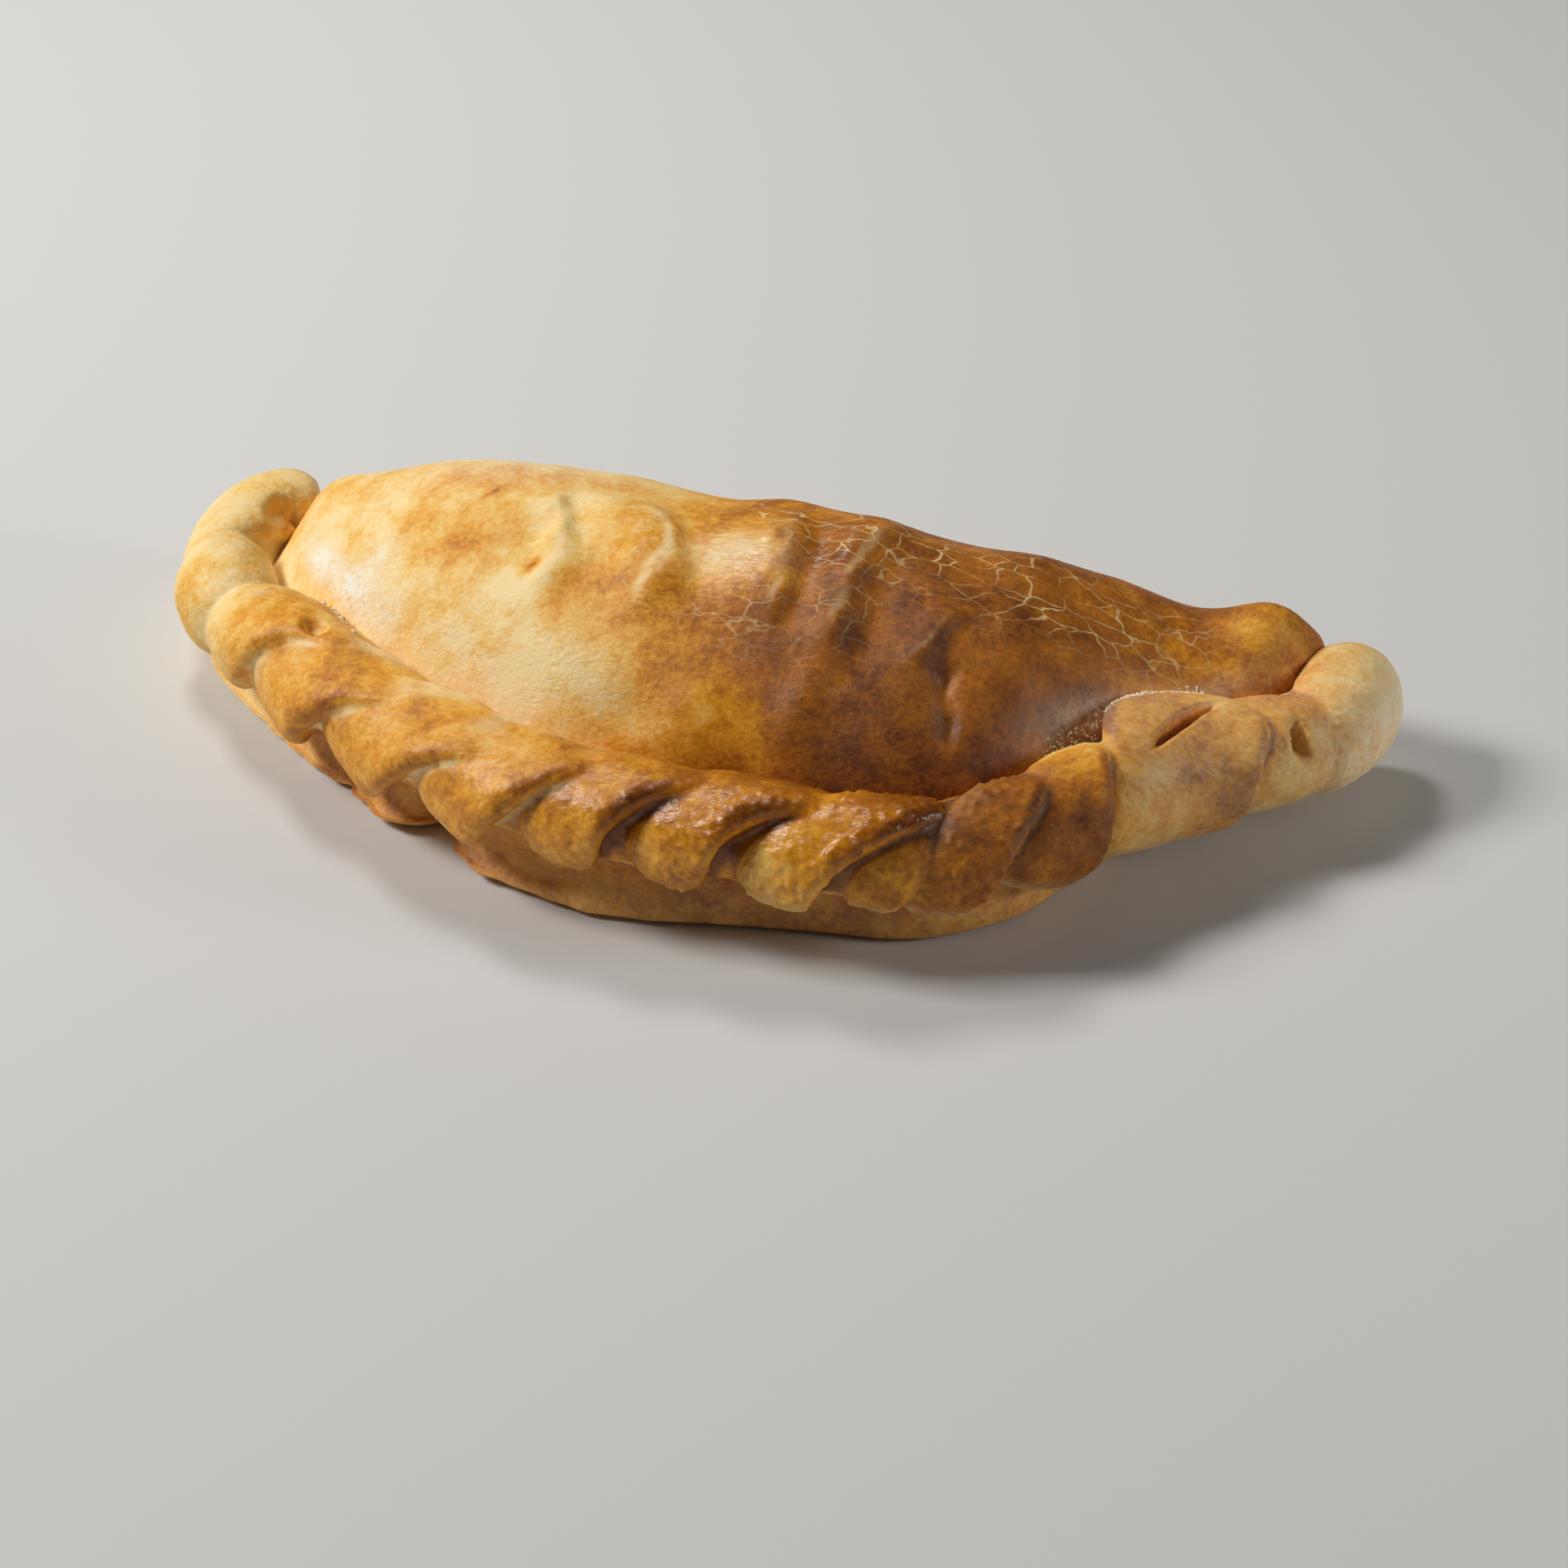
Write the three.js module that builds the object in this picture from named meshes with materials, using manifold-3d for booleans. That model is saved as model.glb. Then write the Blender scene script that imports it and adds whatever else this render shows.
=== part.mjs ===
// A baked turnover: a round of shortcrust folded over its filling, with the curved edge rolled into a rope
// of thumb folds. Millimetres, +Z up. +X runs from tip to tip, the crimped edge faces -Y and the base lies
// on Z = 0.
// The part is one solid: an uncut turnover, filled right through.

import * as THREE from "three";
import { mergeVertices } from "three/addons/utils/BufferGeometryUtils.js";
import Module from "manifold-3d";

const wasm = await Module();
wasm.setup();

// Driving dimensions
const ROPE_RADIUS = 7.8; // of the rolled edge, over its folds
const CORE_SHARE = 0.8; // of that radius, inside the folds
const FOLD_LINE_Y = 36; // the straight fold along the back
const LEFT_SETBACK = 7; // how far the fold line draws in at the left tip
const RIGHT_SETBACK = 8; // and at the right tip
const VALLEY_HEIGHT = 16; // the hollow between the rope and the dome
const LIP_THICKNESS = 1.2; // of the base's edge under the rope
const BACK_ROUNDING = 6; // height where the back fold turns under

// Height of the dome's crest at places along X
const DOME_CREST = [
  [-84, 3],
  [-75, 11],
  [-67, 20.5],
  [-56, 26.5],
  [-42, 32],
  [-22, 34.5],
  [-5, 34],
  [15, 33.6],
  [35, 30.4],
  [48, 26.6],
  [57, 22.4],
  [64, 21],
  [72, 20.5],
  [78, 15],
  [84, 5],
];

// Middle of the rolled edge, from the left tip round the front to the right tip
const EDGE_POINTS = [
  [-71, 33, 9.5],
  [-76.5, 30.5, 10],
  [-78.8, 21.5, 10],
  [-76.8, 10, 10.5],
  [-67.2, 0.6, 11],
  [-50.5, -12, 12],
  [-35.5, -21, 13],
  [-22, -27.5, 14],
  [-8.5, -30.5, 14],
  [18, -30.5, 14],
  [30.5, -29, 14],
  [40.5, -23, 14],
  [48.5, -12.5, 13],
  [60, 2, 11.5],
  [72, 12, 10.5],
  [78.2, 19, 10.3],
  [79, 27, 10.5],
];

// How far the base's lip runs out from under the rope's middle, at lengths along the edge. It is torn back
// at 83.
const LIP_REACH = [
  [0, 2],
  [38, 4.3],
  [59, 4.6],
  [77, 5],
  [83, 1.5],
  [88, 4.6],
  [99, 5],
  [113, 4.6],
  [123, 2.6],
  [140, 1],
  [150, 1.6],
  [162, 2.4],
  [172, 1.5],
  [182, 0],
  [195, -1],
  [210, 0.5],
  [224, 2],
];
const LIP_MEAN = 3; // reach that the stations of the pocket are drawn from

// Thumb folds. foot, bend and tail are each a length along the edge and an angle round the rope, width is
// across the fold, lift is how proud it stands, tilt how far its leading side tips up over the next, in
// degrees, and taper how much fatter its foot is than its tail.
const FOLDS = [
  { foot: [23, -30], bend: [16, 90], tail: [1, 128], width: 15, lift: 0.97, tilt: 0, taper: 0 },
  { foot: [28, -58], bend: [33, 80], tail: [25, 165], width: 17, lift: 1, tilt: 0, taper: 0 },
  { foot: [37, -58], bend: [46, 180], tail: [68, 105], width: 15.5, lift: 1.1, tilt: 18, taper: 0.1 },
  { foot: [51, -52], bend: [60, 120], tail: [85, 95], width: 15.6, lift: 1.12, tilt: 22, taper: 0.24 },
  { foot: [67, -50], bend: [79, 105], tail: [103, 96], width: 15.8, lift: 1.13, tilt: 23, taper: 0.24 },
  { foot: [86, -50], bend: [95, 100], tail: [111, 108], width: 16, lift: 1.15, tilt: 25, taper: 0.2 },
  { foot: [104, -55], bend: [103, 112], tail: [127, 110], width: 15.4, lift: 1.16, tilt: 27, taper: 0.16 },
  { foot: [118, -60], bend: [117, 115], tail: [141, 98], width: 14.4, lift: 1.18, tilt: 31, taper: 0.1 },
  { foot: [131, -70], bend: [134, 75], tail: [153, 96], width: 12.6, lift: 1.25, tilt: 38, taper: 0.06 },
  { foot: [143, -85], bend: [147, 40], tail: [151, 92], width: 8.6, lift: 1.08, tilt: 36, taper: 0.1 },
  { foot: [150, -92], bend: [152, 55], tail: [167, 94], width: 11.4, lift: 1.22, tilt: 40, taper: 0.06 },
  { foot: [163, -100], bend: [165, 50], tail: [178, 108], width: 13.6, lift: 1.27, tilt: 38, taper: 0.05 },
  { foot: [179, -112], bend: [184, 50], tail: [202, 106], width: 23.5, lift: 1.18, tilt: 8, taper: 0 },
  { foot: [201, -115], bend: [203, 40], tail: [206, 106], width: 24, lift: 1.08, tilt: 4, taper: 0 },
  { foot: [215, -115], bend: [218, 40], tail: [219, 140], width: 22, lift: 1.08, tilt: 0, taper: 0 },
];

// Holes that thumb and steam left in the rope: length along the edge and angle round it, with half sizes
// along the edge, round the rope and into it, and degrees that the hole is turned from the edge
const DENTS = [
  { at: [12, 128], half: [4, 2.6, 2.2], turn: 0 },
  { at: [56, 86], half: [2, 1.5, 2], turn: 0 },
  { at: [190, 74], half: [6.5, 1.1, 3], turn: 18 },
  { at: [206, 36], half: [1.2, 2.8, 2.8], turn: 0 },
];

// Swellings and creases of the dome in plan: spread along and across, turned by degrees from X
const SWELLINGS = [
  { at: [-23, 0.5], spread: [12, 2.4], turn: -75, height: -1.6 },
  { at: [-11, -1], spread: [9, 4.5], turn: -60, height: 1.5 },
  { at: [1, 3], spread: [6, 6], turn: 0, height: 0.8 },
  { at: [5.2, 2], spread: [10, 1.6], turn: -83, height: 1 },
  { at: [10, 3], spread: [8, 3], turn: -83, height: -0.6 },
  { at: [15.8, -1], spread: [9, 1.6], turn: -83, height: 1.2 },
  { at: [21, -2], spread: [8, 4], turn: -80, height: -0.8 },
  { at: [28, -3.4], spread: [4.5, 1.6], turn: 40, height: 0.9 },
  { at: [32, -11.7], spread: [5, 2], turn: -75, height: -1.4 },
  { at: [13.6, -15.9], spread: [4, 2.4], turn: 80, height: 0.9 },
  { at: [-9.7, -19.5], spread: [4, 3], turn: 0, height: -1.4 },
  { at: [0.6, -18.5], spread: [4, 4], turn: 0, height: 0.7 },
  { at: [12, 14], spread: [13, 8], turn: 0, height: 1.4 },
  { at: [2.5, 19], spread: [6, 5], turn: 0, height: 1.3 },
  { at: [17.5, 16], spread: [5, 5], turn: 0, height: 1.1 },
  { at: [38, 18], spread: [6, 7], turn: 0, height: 1.6 },
  { at: [68, 25], spread: [6, 9], turn: 0, height: 2.6 },
];

const CRUST_COLOUR = 0xcf9a4c;
const CRUST_ROUGHNESS = 0.5;

// Fineness of the facets
const POCKET_STATIONS = 64;
const POCKET_TOP_POINTS = 24;
const POCKET_BASE_POINTS = 8;
const FOLD_RINGS = 14;
const FOLD_SIDES = 11;
const CORE_STEPS = 48;
const CORE_SIDES = 10;

const { lerp, clamp, smoothstep, degToRad } = THREE.MathUtils;
const UP = new THREE.Vector3(0, 0, 1);

const edge = new THREE.CatmullRomCurve3(EDGE_POINTS.map((point) => new THREE.Vector3(...point)));
edge.arcLengthDivisions = 600;
const EDGE_LENGTH = edge.getLength();

// A smooth curve through a short list of [place, value] pairs, level beyond its ends
function curveThrough(points, place) {
  const last = points.length - 1;
  const x = clamp(place, points[0][0], points[last][0]);
  const i = Math.min(points.findLastIndex((point) => point[0] <= x), last - 1);
  const slope = (k) => {
    const [before, after] = [points[Math.max(k - 1, 0)], points[Math.min(k + 1, last)]];
    return (after[1] - before[1]) / (after[0] - before[0]);
  };
  const span = points[i + 1][0] - points[i][0];
  const t = (x - points[i][0]) / span;
  const rise = points[i + 1][1] - points[i][1];
  const bend = span * (slope(i) * (1 - t) - slope(i + 1) * t) - rise * (1 - 2 * t);
  return points[i][1] + rise * t + t * (1 - t) * bend;
}

// The rope's own axes at a length along the edge: its middle, the way along it and outward in plan
function edgeFrame(length) {
  const u = clamp(length / EDGE_LENGTH, 0, 1);
  const middle = edge.getPointAt(u);
  const along = edge.getTangentAt(u);
  const outward = new THREE.Vector3(along.y, -along.x, 0).normalize();
  middle.addScaledVector(along, length - u * EDGE_LENGTH);
  return { middle, along, outward };
}

// The way out of the rope at an angle round it, from straight out (0 degrees) over the top (90) to the
// inside (180)
function ropeRadial(frame, degrees) {
  const angle = degToRad(degrees);
  return frame.outward.clone().multiplyScalar(Math.cos(angle)).addScaledVector(UP, Math.sin(angle));
}

function closedSolid(geometry) {
  const bare = geometry.clone();
  bare.deleteAttribute("normal");
  bare.deleteAttribute("uv");
  const merged = mergeVertices(bare, 1e-3);
  return new wasm.Manifold(
    new wasm.Mesh({
      numProp: 3,
      vertProperties: new Float32Array(merged.attributes.position.array),
      triVerts: new Uint32Array(merged.index.array),
    }),
  );
}

// The filled pocket. Stations fan from the back fold to the crimped edge, and each has a flat base, a lip
// under the rope, a valley behind it and the dome over the filling. A share of a station runs from -1 at the
// lip to 1 at the back.
const VALLEY_AT = -0.66;
const CREST_AT = 0.2;
const BASE_TURNS_UP_AT = 0.86;
const WALL_FROM = 85; // length along the edge where the flat lip begins to stand up as a wall
const WALL_TO = 120; // and where it stands upright
const LIP_RISES_FROM = 0.08; // share of the flat lip's width where it begins to rise to the valley
const LIP_RISES_TO = 0.42;
const FRONT_ROUNDNESS = 0.7; // a half would be an ellipse
const BACK_ROUNDNESS = 0.55;
const BACK_FULLNESS = 2.2; // the larger, the longer the dome stays level before it drops to the back
const RIGHT_TURN = 3; // the larger, the shorter the turn of the fold line at the right tip
const TIP_STEEPNESS = 3; // the larger, the more sharply the dome rises from either tip
const SWELLING_FADE = 0.1; // share over which the swellings die out at the dome's edges

function pocketStation(u) {
  const length = u * EDGE_LENGTH;
  const { middle, outward } = edgeFrame(length);
  const fullness = Math.sqrt(Math.sin(Math.PI * u));
  const drawnIn = 1 - fullness;
  const setback = lerp(LEFT_SETBACK * drawnIn, RIGHT_SETBACK * drawnIn ** RIGHT_TURN, u);
  return {
    lip: middle.addScaledVector(outward, LIP_MEAN),
    back: new THREE.Vector3(lerp(EDGE_POINTS[0][0], EDGE_POINTS.at(-1)[0], u), FOLD_LINE_Y - setback, 0),
    outward,
    spare: curveThrough(LIP_REACH, length) - LIP_MEAN,
    frontRim: LIP_THICKNESS * fullness,
    backRim: BACK_ROUNDING * fullness,
    valley: VALLEY_HEIGHT * fullness,
    tip: Math.min(1, TIP_STEEPNESS * fullness),
    wall: smoothstep(length, WALL_FROM, WALL_TO),
  };
}

function swelling(x, y) {
  let height = 0;
  for (const { at, spread, turn, height: peak } of SWELLINGS) {
    const away = new THREE.Vector2(x - at[0], y - at[1]).rotateAround(new THREE.Vector2(), degToRad(-turn));
    height += peak * Math.exp(-((away.x / spread[0]) ** 2) - (away.y / spread[1]) ** 2);
  }
  return height;
}

function pocketTop(station, share, x, y) {
  const { frontRim, backRim, valley, tip, wall } = station;
  if (share < VALLEY_AT) {
    const t = (share + 1) / (VALLEY_AT + 1);
    const rise = lerp(smoothstep(t, LIP_RISES_FROM, LIP_RISES_TO), Math.sqrt(t), wall);
    return frontRim + (valley - frontRim) * rise;
  }
  const crest = Math.max(curveThrough(DOME_CREST, x) * tip, valley);
  const offValley = smoothstep(share, VALLEY_AT, VALLEY_AT + SWELLING_FADE);
  const raised = offValley * smoothstep(1 - share, 0, SWELLING_FADE) * swelling(x, y);
  if (share < CREST_AT) {
    const t = (CREST_AT - share) / (CREST_AT - VALLEY_AT);
    return valley + (crest - valley) * Math.pow(1 - t * t, FRONT_ROUNDNESS) + raised;
  }
  const t = (share - CREST_AT) / (1 - CREST_AT);
  const fall = Math.pow(1 - Math.pow(t, BACK_FULLNESS), BACK_ROUNDNESS);
  return backRim + (crest - backRim) * fall + raised;
}

function pocketPoint(station, share, onTop) {
  const point = station.lip.clone().lerp(station.back, (share + 1) / 2);
  const lipShare = clamp(1 - (share + 1) / (VALLEY_AT + 1), 0, 1);
  point.addScaledVector(station.outward, station.spare * lipShare);
  const turnUp = clamp((Math.abs(share) - BASE_TURNS_UP_AT) / (1 - BASE_TURNS_UP_AT), 0, 1) ** 2;
  const base = (share < 0 ? station.frontRim : station.backRim) * turnUp;
  point.z = onTop ? pocketTop(station, share, point.x, point.y) : base;
  return point;
}

function pocketGeometry() {
  const around = POCKET_TOP_POINTS + POCKET_BASE_POINTS;
  const positions = [];
  const indices = [];
  const rings = [];
  for (let i = 1; i < POCKET_STATIONS; i++) {
    const station = pocketStation(i / POCKET_STATIONS);
    const ring = [];
    for (let j = 0; j < around; j++) {
      const onTop = j < POCKET_TOP_POINTS;
      const t = onTop ? j / POCKET_TOP_POINTS : 1 + (j - POCKET_TOP_POINTS) / POCKET_BASE_POINTS;
      ring.push(positions.length / 3);
      positions.push(...pocketPoint(station, -Math.cos(Math.PI * t), onTop));
    }
    rings.push(ring);
  }
  const tips = [edge.getPointAt(0), edge.getPointAt(1)].map((tip) => {
    positions.push(tip.x, tip.y, 0);
    return positions.length / 3 - 1;
  });
  for (let j = 0; j < around; j++) {
    const k = (j + 1) % around;
    indices.push(tips[0], rings[0][j], rings[0][k]);
    indices.push(tips[1], rings.at(-1)[k], rings.at(-1)[j]);
    for (let i = 0; i + 1 < rings.length; i++) {
      const [a, b] = [rings[i], rings[i + 1]];
      indices.push(a[j], b[j], a[k], a[k], b[j], b[k]);
    }
  }
  return new THREE.BufferGeometry()
    .setAttribute("position", new THREE.Float32BufferAttribute(positions, 3))
    .setIndex(indices);
}

// The rope's core, which the folds wrap. It stops short of both tips, inside the end folds.
const CORE_POINTS = 60;
const CORE_STOPS_SHORT = 2; // points left out at either tip

function coreGeometry() {
  const section = new THREE.Shape();
  section.absarc(0, 0, ROPE_RADIUS * CORE_SHARE, 0, 2 * Math.PI);
  const points = edge.getSpacedPoints(CORE_POINTS).slice(CORE_STOPS_SHORT, -CORE_STOPS_SHORT);
  return new THREE.ExtrudeGeometry(section, {
    extrudePath: new THREE.CatmullRomCurve3(points),
    steps: CORE_STEPS,
    curveSegments: CORE_SIDES,
    bevelEnabled: false,
  });
}

// One fold: a ball of dough drawn out along a path that climbs from the outside of the rope, over its top and
// along behind it. The more it is tilted, the thinner its leading side is.
const FOLD_MIDDLE = 0.5; // share of the rope's radius where a fold's own middle runs
const FOLD_THICKNESS = 0.6; // half of a fold's thickness, as a share of the rope's radius
const THIN_LIP_TILT = 70; // degrees of tilt at which the leading side would thin to nothing
const FOLD_STEP = 0.01; // share of a fold's path that its direction is taken over

function foldPath(fold, t) {
  const [length, angle] = [0, 1].map((k) =>
    lerp(lerp(fold.foot[k], fold.bend[k], t), lerp(fold.bend[k], fold.tail[k], t), t),
  );
  const frame = edgeFrame(length);
  const radial = ropeRadial(frame, angle);
  const middle = frame.middle.addScaledVector(radial, ROPE_RADIUS * FOLD_MIDDLE * fold.lift);
  return { middle, radial };
}

function foldGeometry(fold) {
  const ball = new THREE.SphereGeometry(1, FOLD_SIDES, FOLD_RINGS);
  const positions = ball.getAttribute("position");
  const tilt = degToRad(fold.tilt);
  for (let i = 0; i < positions.count; i++) {
    const [x, y, z] = [positions.getX(i), positions.getY(i), positions.getZ(i)];
    const t = (1 + y) / 2;
    const { middle, radial } = foldPath(fold, t);
    const ahead = foldPath(fold, t + FOLD_STEP).middle;
    const along = ahead.sub(foldPath(fold, t - FOLD_STEP).middle).normalize();
    const leading = new THREE.Vector3().crossVectors(along, radial).normalize();
    const proud = new THREE.Vector3().crossVectors(leading, along);
    const round = Math.max(Math.hypot(x, z), 1e-6);
    const bluntness = 1 / Math.sqrt(round);
    const taper = 1 + fold.taper * (1 - 2 * t);
    const thin = 1 - (fold.tilt / THIN_LIP_TILT) * (0.5 + (0.5 * x) / round);
    const side = (x * bluntness * taper * fold.width) / 2;
    const depth = z * bluntness * taper * thin * ROPE_RADIUS * FOLD_THICKNESS * fold.lift;
    middle.addScaledVector(leading, side * Math.cos(tilt) - depth * Math.sin(tilt));
    middle.addScaledVector(proud, side * Math.sin(tilt) + depth * Math.cos(tilt));
    positions.setXYZ(i, middle.x, middle.y, Math.max(middle.z, 0));
  }
  return ball;
}

// One dent: a flattened ball set in the rope's surface
const DENT_RADIUS = 1.15; // share of the rope's radius where a dent's middle lies

function dentGeometry({ at, half, turn }) {
  const frame = edgeFrame(at[0]);
  const radial = ropeRadial(frame, at[1]);
  const round = new THREE.Vector3().crossVectors(radial, frame.along).normalize();
  const middle = frame.middle.clone().addScaledVector(radial, ROPE_RADIUS * DENT_RADIUS);
  const angle = degToRad(turn);
  const [long, wide] = [frame.along, round].map((axis) => axis.clone().applyAxisAngle(radial, angle));
  const axes = [long, wide, radial].map((axis, k) => axis.clone().multiplyScalar(half[k]));
  return new THREE.SphereGeometry(1, 10, 8).applyMatrix4(
    new THREE.Matrix4().makeBasis(...axes).setPosition(middle),
  );
}

let crust = closedSolid(pocketGeometry()).add(closedSolid(coreGeometry()));
for (const fold of FOLDS) crust = crust.add(closedSolid(foldGeometry(fold)));
for (const dent of DENTS) crust = crust.subtract(closedSolid(dentGeometry(dent)));

// The finished solid, with its origin under the middle of its box
function geometryOf(solid) {
  const { vertProperties, triVerts } = solid.getMesh();
  const geometry = new THREE.BufferGeometry()
    .setAttribute("position", new THREE.BufferAttribute(vertProperties, 3))
    .setIndex(new THREE.BufferAttribute(triVerts, 1));
  geometry.computeBoundingBox();
  const middle = geometry.boundingBox.getCenter(new THREE.Vector3());
  geometry.translate(-middle.x, -middle.y, -geometry.boundingBox.min.z);
  geometry.computeVertexNormals();
  return geometry;
}

const turnover = new THREE.Group();
const shell = new THREE.Mesh(
  geometryOf(crust),
  new THREE.MeshStandardMaterial({ color: CRUST_COLOUR, roughness: CRUST_ROUGHNESS, metalness: 0 }),
);
shell.name = "crust";
turnover.add(shell);

export default turnover;
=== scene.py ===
"""Looks of one baked empanada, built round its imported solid.

A half-moon of shortcrust lies on its flat base: a domed pocket with a straight fold at the back, and a curved
edge that is rolled into a rope of thumb folds. Lengths are drawn in millimetres and turned to metres once.
"""

import math

import bmesh
import bpy
import numpy as np
from mathutils import Matrix, Vector
from mathutils.bvhtree import BVHTree
from mathutils.kdtree import KDTree


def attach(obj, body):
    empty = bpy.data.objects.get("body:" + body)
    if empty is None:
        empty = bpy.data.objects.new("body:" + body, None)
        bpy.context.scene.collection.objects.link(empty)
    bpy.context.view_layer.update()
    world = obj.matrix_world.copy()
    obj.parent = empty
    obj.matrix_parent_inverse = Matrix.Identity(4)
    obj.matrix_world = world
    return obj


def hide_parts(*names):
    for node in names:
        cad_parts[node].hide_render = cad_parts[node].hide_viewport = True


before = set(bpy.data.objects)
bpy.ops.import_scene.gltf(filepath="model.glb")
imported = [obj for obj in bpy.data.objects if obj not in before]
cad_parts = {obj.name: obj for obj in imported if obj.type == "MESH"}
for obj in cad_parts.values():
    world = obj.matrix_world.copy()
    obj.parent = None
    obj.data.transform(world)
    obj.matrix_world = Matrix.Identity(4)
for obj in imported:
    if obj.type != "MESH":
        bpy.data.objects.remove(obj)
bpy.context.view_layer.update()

bl_info = {
    "name": "Empanada",
    "version": (1, 0, 0),
    "blender": (4, 5, 0),
    "location": "View3D > Sidebar > Empanada",
    "description": "Builds a baked, hand-crimped empanada and the stage it is shown on",
    "category": "Add Mesh",
}

MM = 0.001
BODY = "root"
NODE = "crust"

# Middle of the drawn outline's box, which is the part's origin, in drawn millimetres
DRAWN_MIDDLE = np.array([0.563, -2.142, 0.0])

# Line of the rope's middle from the left tip round the front to the right tip
EDGE_POINTS = np.array([
    [-71, 33, 9.5], [-76.5, 30.5, 10], [-78.8, 21.5, 10], [-76.8, 10, 10.5], [-67.2, 0.6, 11],
    [-50.5, -12, 12], [-35.5, -21, 13], [-22, -27.5, 14], [-8.5, -30.5, 14], [18, -30.5, 14], [30.5, -29, 14],
    [40.5, -23, 14], [48.5, -12.5, 13], [60, 2, 11.5], [72, 12, 10.5], [78.2, 19, 10.3], [79, 27, 10.5],
], float)
EDGE_STEPS = 60

# Height of the dome's crest against the length, from tip to tip
DOME_CREST = [
    (-84, 3), (-75, 11), (-67, 20.5), (-56, 26.5), (-42, 32), (-22, 34.5), (-5, 34), (15, 33.6), (35, 30.4),
    (48, 26.6), (57, 22.4), (64, 21), (72, 20.5), (78, 15), (84, 5),
]

# How far the lip of the base reaches past the rope's middle, against the length along the rope
LIP_REACH = [
    (0, 2), (38, 4.3), (59, 4.6), (77, 5), (83, 1.5), (88, 4.6), (99, 5), (113, 4.6), (123, 2.6), (140, 1),
    (150, 1.6), (162, 2.4), (172, 1.5), (182, 0), (195, -1), (210, 0.5), (224, 2),
]
LIP_MEAN = 3.0

# Places across the pocket, from -1 at the lip to 1 at the back fold. Here and below, a range that something
# fades out over, or that counts to the left, the front or downwards, has its sign turned.
VALLEY_AT = -0.66
CREST_AT = 0.2
BASE_TURNS_UP_AT = 0.86
RELIEF_STARTS = (VALLEY_AT - 0.05, VALLEY_AT + 0.1)
RELIEF_ENDS = (-1, -0.9)
CURL_BREADTH = 0.12

# The straight back fold and how far it falls back at either tip
FOLD_LINE_Y = 36.0
LEFT_SETBACK = 7.0
RIGHT_SETBACK = 8.0
RIGHT_TURN = 3
TIP_STEEPNESS = 3.0

# Section of the pocket: powers that make its front and back full, the rise of the wall that is tucked under
# the rope, the lengths along the rope where that wall comes to stand up, and the rim's share under the base
FRONT_FULLNESS = 0.7
BACK_DROP = 2.2
BACK_FULLNESS = 0.55
TUCKED_WALL = (0.08, 0.42)
WALL_STANDS_UP = (85, 120)
BASE_RIM_SHARE = 0.75

# Thumb folds: foot, bend and tail, each as length along the rope and angle round it, then width, lift,
# tilt of the crest, and how much the foot is fatter than the tail
FOLDS = [
    (23, -30, 16, 90, 1, 128, 15, 0.97, 0, 0),
    (28, -58, 33, 80, 25, 165, 17, 1, 0, 0),
    (37, -58, 46, 180, 68, 105, 15.5, 1.1, 18, 0.1),
    (51, -52, 60, 120, 85, 95, 15.6, 1.12, 22, 0.24),
    (67, -50, 79, 105, 103, 96, 15.8, 1.13, 23, 0.24),
    (86, -50, 95, 100, 111, 108, 16, 1.15, 25, 0.2),
    (104, -55, 103, 112, 127, 110, 15.4, 1.16, 27, 0.16),
    (118, -60, 117, 115, 141, 98, 14.4, 1.18, 31, 0.1),
    (131, -70, 134, 75, 153, 96, 12.6, 1.25, 38, 0.06),
    (143, -85, 147, 40, 151, 92, 8.6, 1.08, 36, 0.1),
    (150, -92, 152, 55, 167, 94, 11.4, 1.22, 40, 0.06),
    (163, -100, 165, 50, 178, 108, 13.6, 1.29, 43, 0.05),
    (179, -112, 184, 50, 202, 106, 23.5, 1.18, 8, 0),
    (201, -115, 203, 40, 206, 106, 24, 1.08, 4, 0),
    (215, -115, 218, 40, 219, 140, 22, 1.08, 0, 0),
]

# Middle and half thickness of a fold against the rope's radius, and the tilt in degrees at which its leading
# side would come to nothing
FOLD_MIDDLE = 0.5
FOLD_THICKNESS = 0.6
THIN_LIP_TILT = 70.0

# How each fold baked: browning at its foot, middle and tail, pale seam beside it, shine of its egg wash,
# blisters, and flour on its underside. Two folds' browning also holds painted shade and painted light.
FOLD_BAKING_AND_PAINTED_LIGHT = [
    (0.10, 0.12, 0.20, 0.8, 0.20, 0.0, 0.10),
    (0.16, 0.24, 0.36, 1.0, 0.25, 0.0, 0.10),
    (0.28, 0.36, 0.48, 1.0, 0.25, 0.1, 0.10),
    (0.52, 0.50, 0.44, 1.0, 0.25, 0.15, 0.08),
    (0.48, 0.46, 0.58, 1.0, 0.30, 0.15, 0.08),
    (0.42, 0.48, 0.64, 0.7, 0.45, 0.4, 0.16),
    (0.56, 0.60, 0.84, 0.1, 0.55, 0.5, 0.20),
    (0.46, 0.56, 0.84, 0.0, 0.65, 0.8, 0.28),
    (0.40, 0.54, 0.84, 0.0, 0.70, 1.0, 0.36),
    (0.44, 0.62, 0.80, 0.1, 0.15, 0.9, 0.45),
    # Painted shade browns the middles of the eleventh and twelfth folds, and painted light pales the
    # twelfth's lit tail
    (0.52, 0.82, 0.78, 0.1, 0.15, 1.0, 0.40),
    (0.50, 0.86, 0.10, 0.1, 0.15, 0.4, 0.40),
    (0.34, 0.54, 0.46, 0.1, 0.50, 0.05, 0.35),
    (0.22, 0.40, 0.40, 0.1, 0.45, 0.0, 0.35),
    (0.12, 0.28, 0.42, 0.1, 0.20, 0.0, 0.45),
]

# Dents in the rope: length along, angle round, half length, half width, depth and turn
DENTS = [
    (12, 128, 4, 2.6, 2.2, 0),
    (56, 86, 2, 1.5, 2, 0),
    (190, 74, 6.5, 0.9, 3, 18),
    (206, 36, 1.1, 2.6, 2.8, 0),
]

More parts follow.
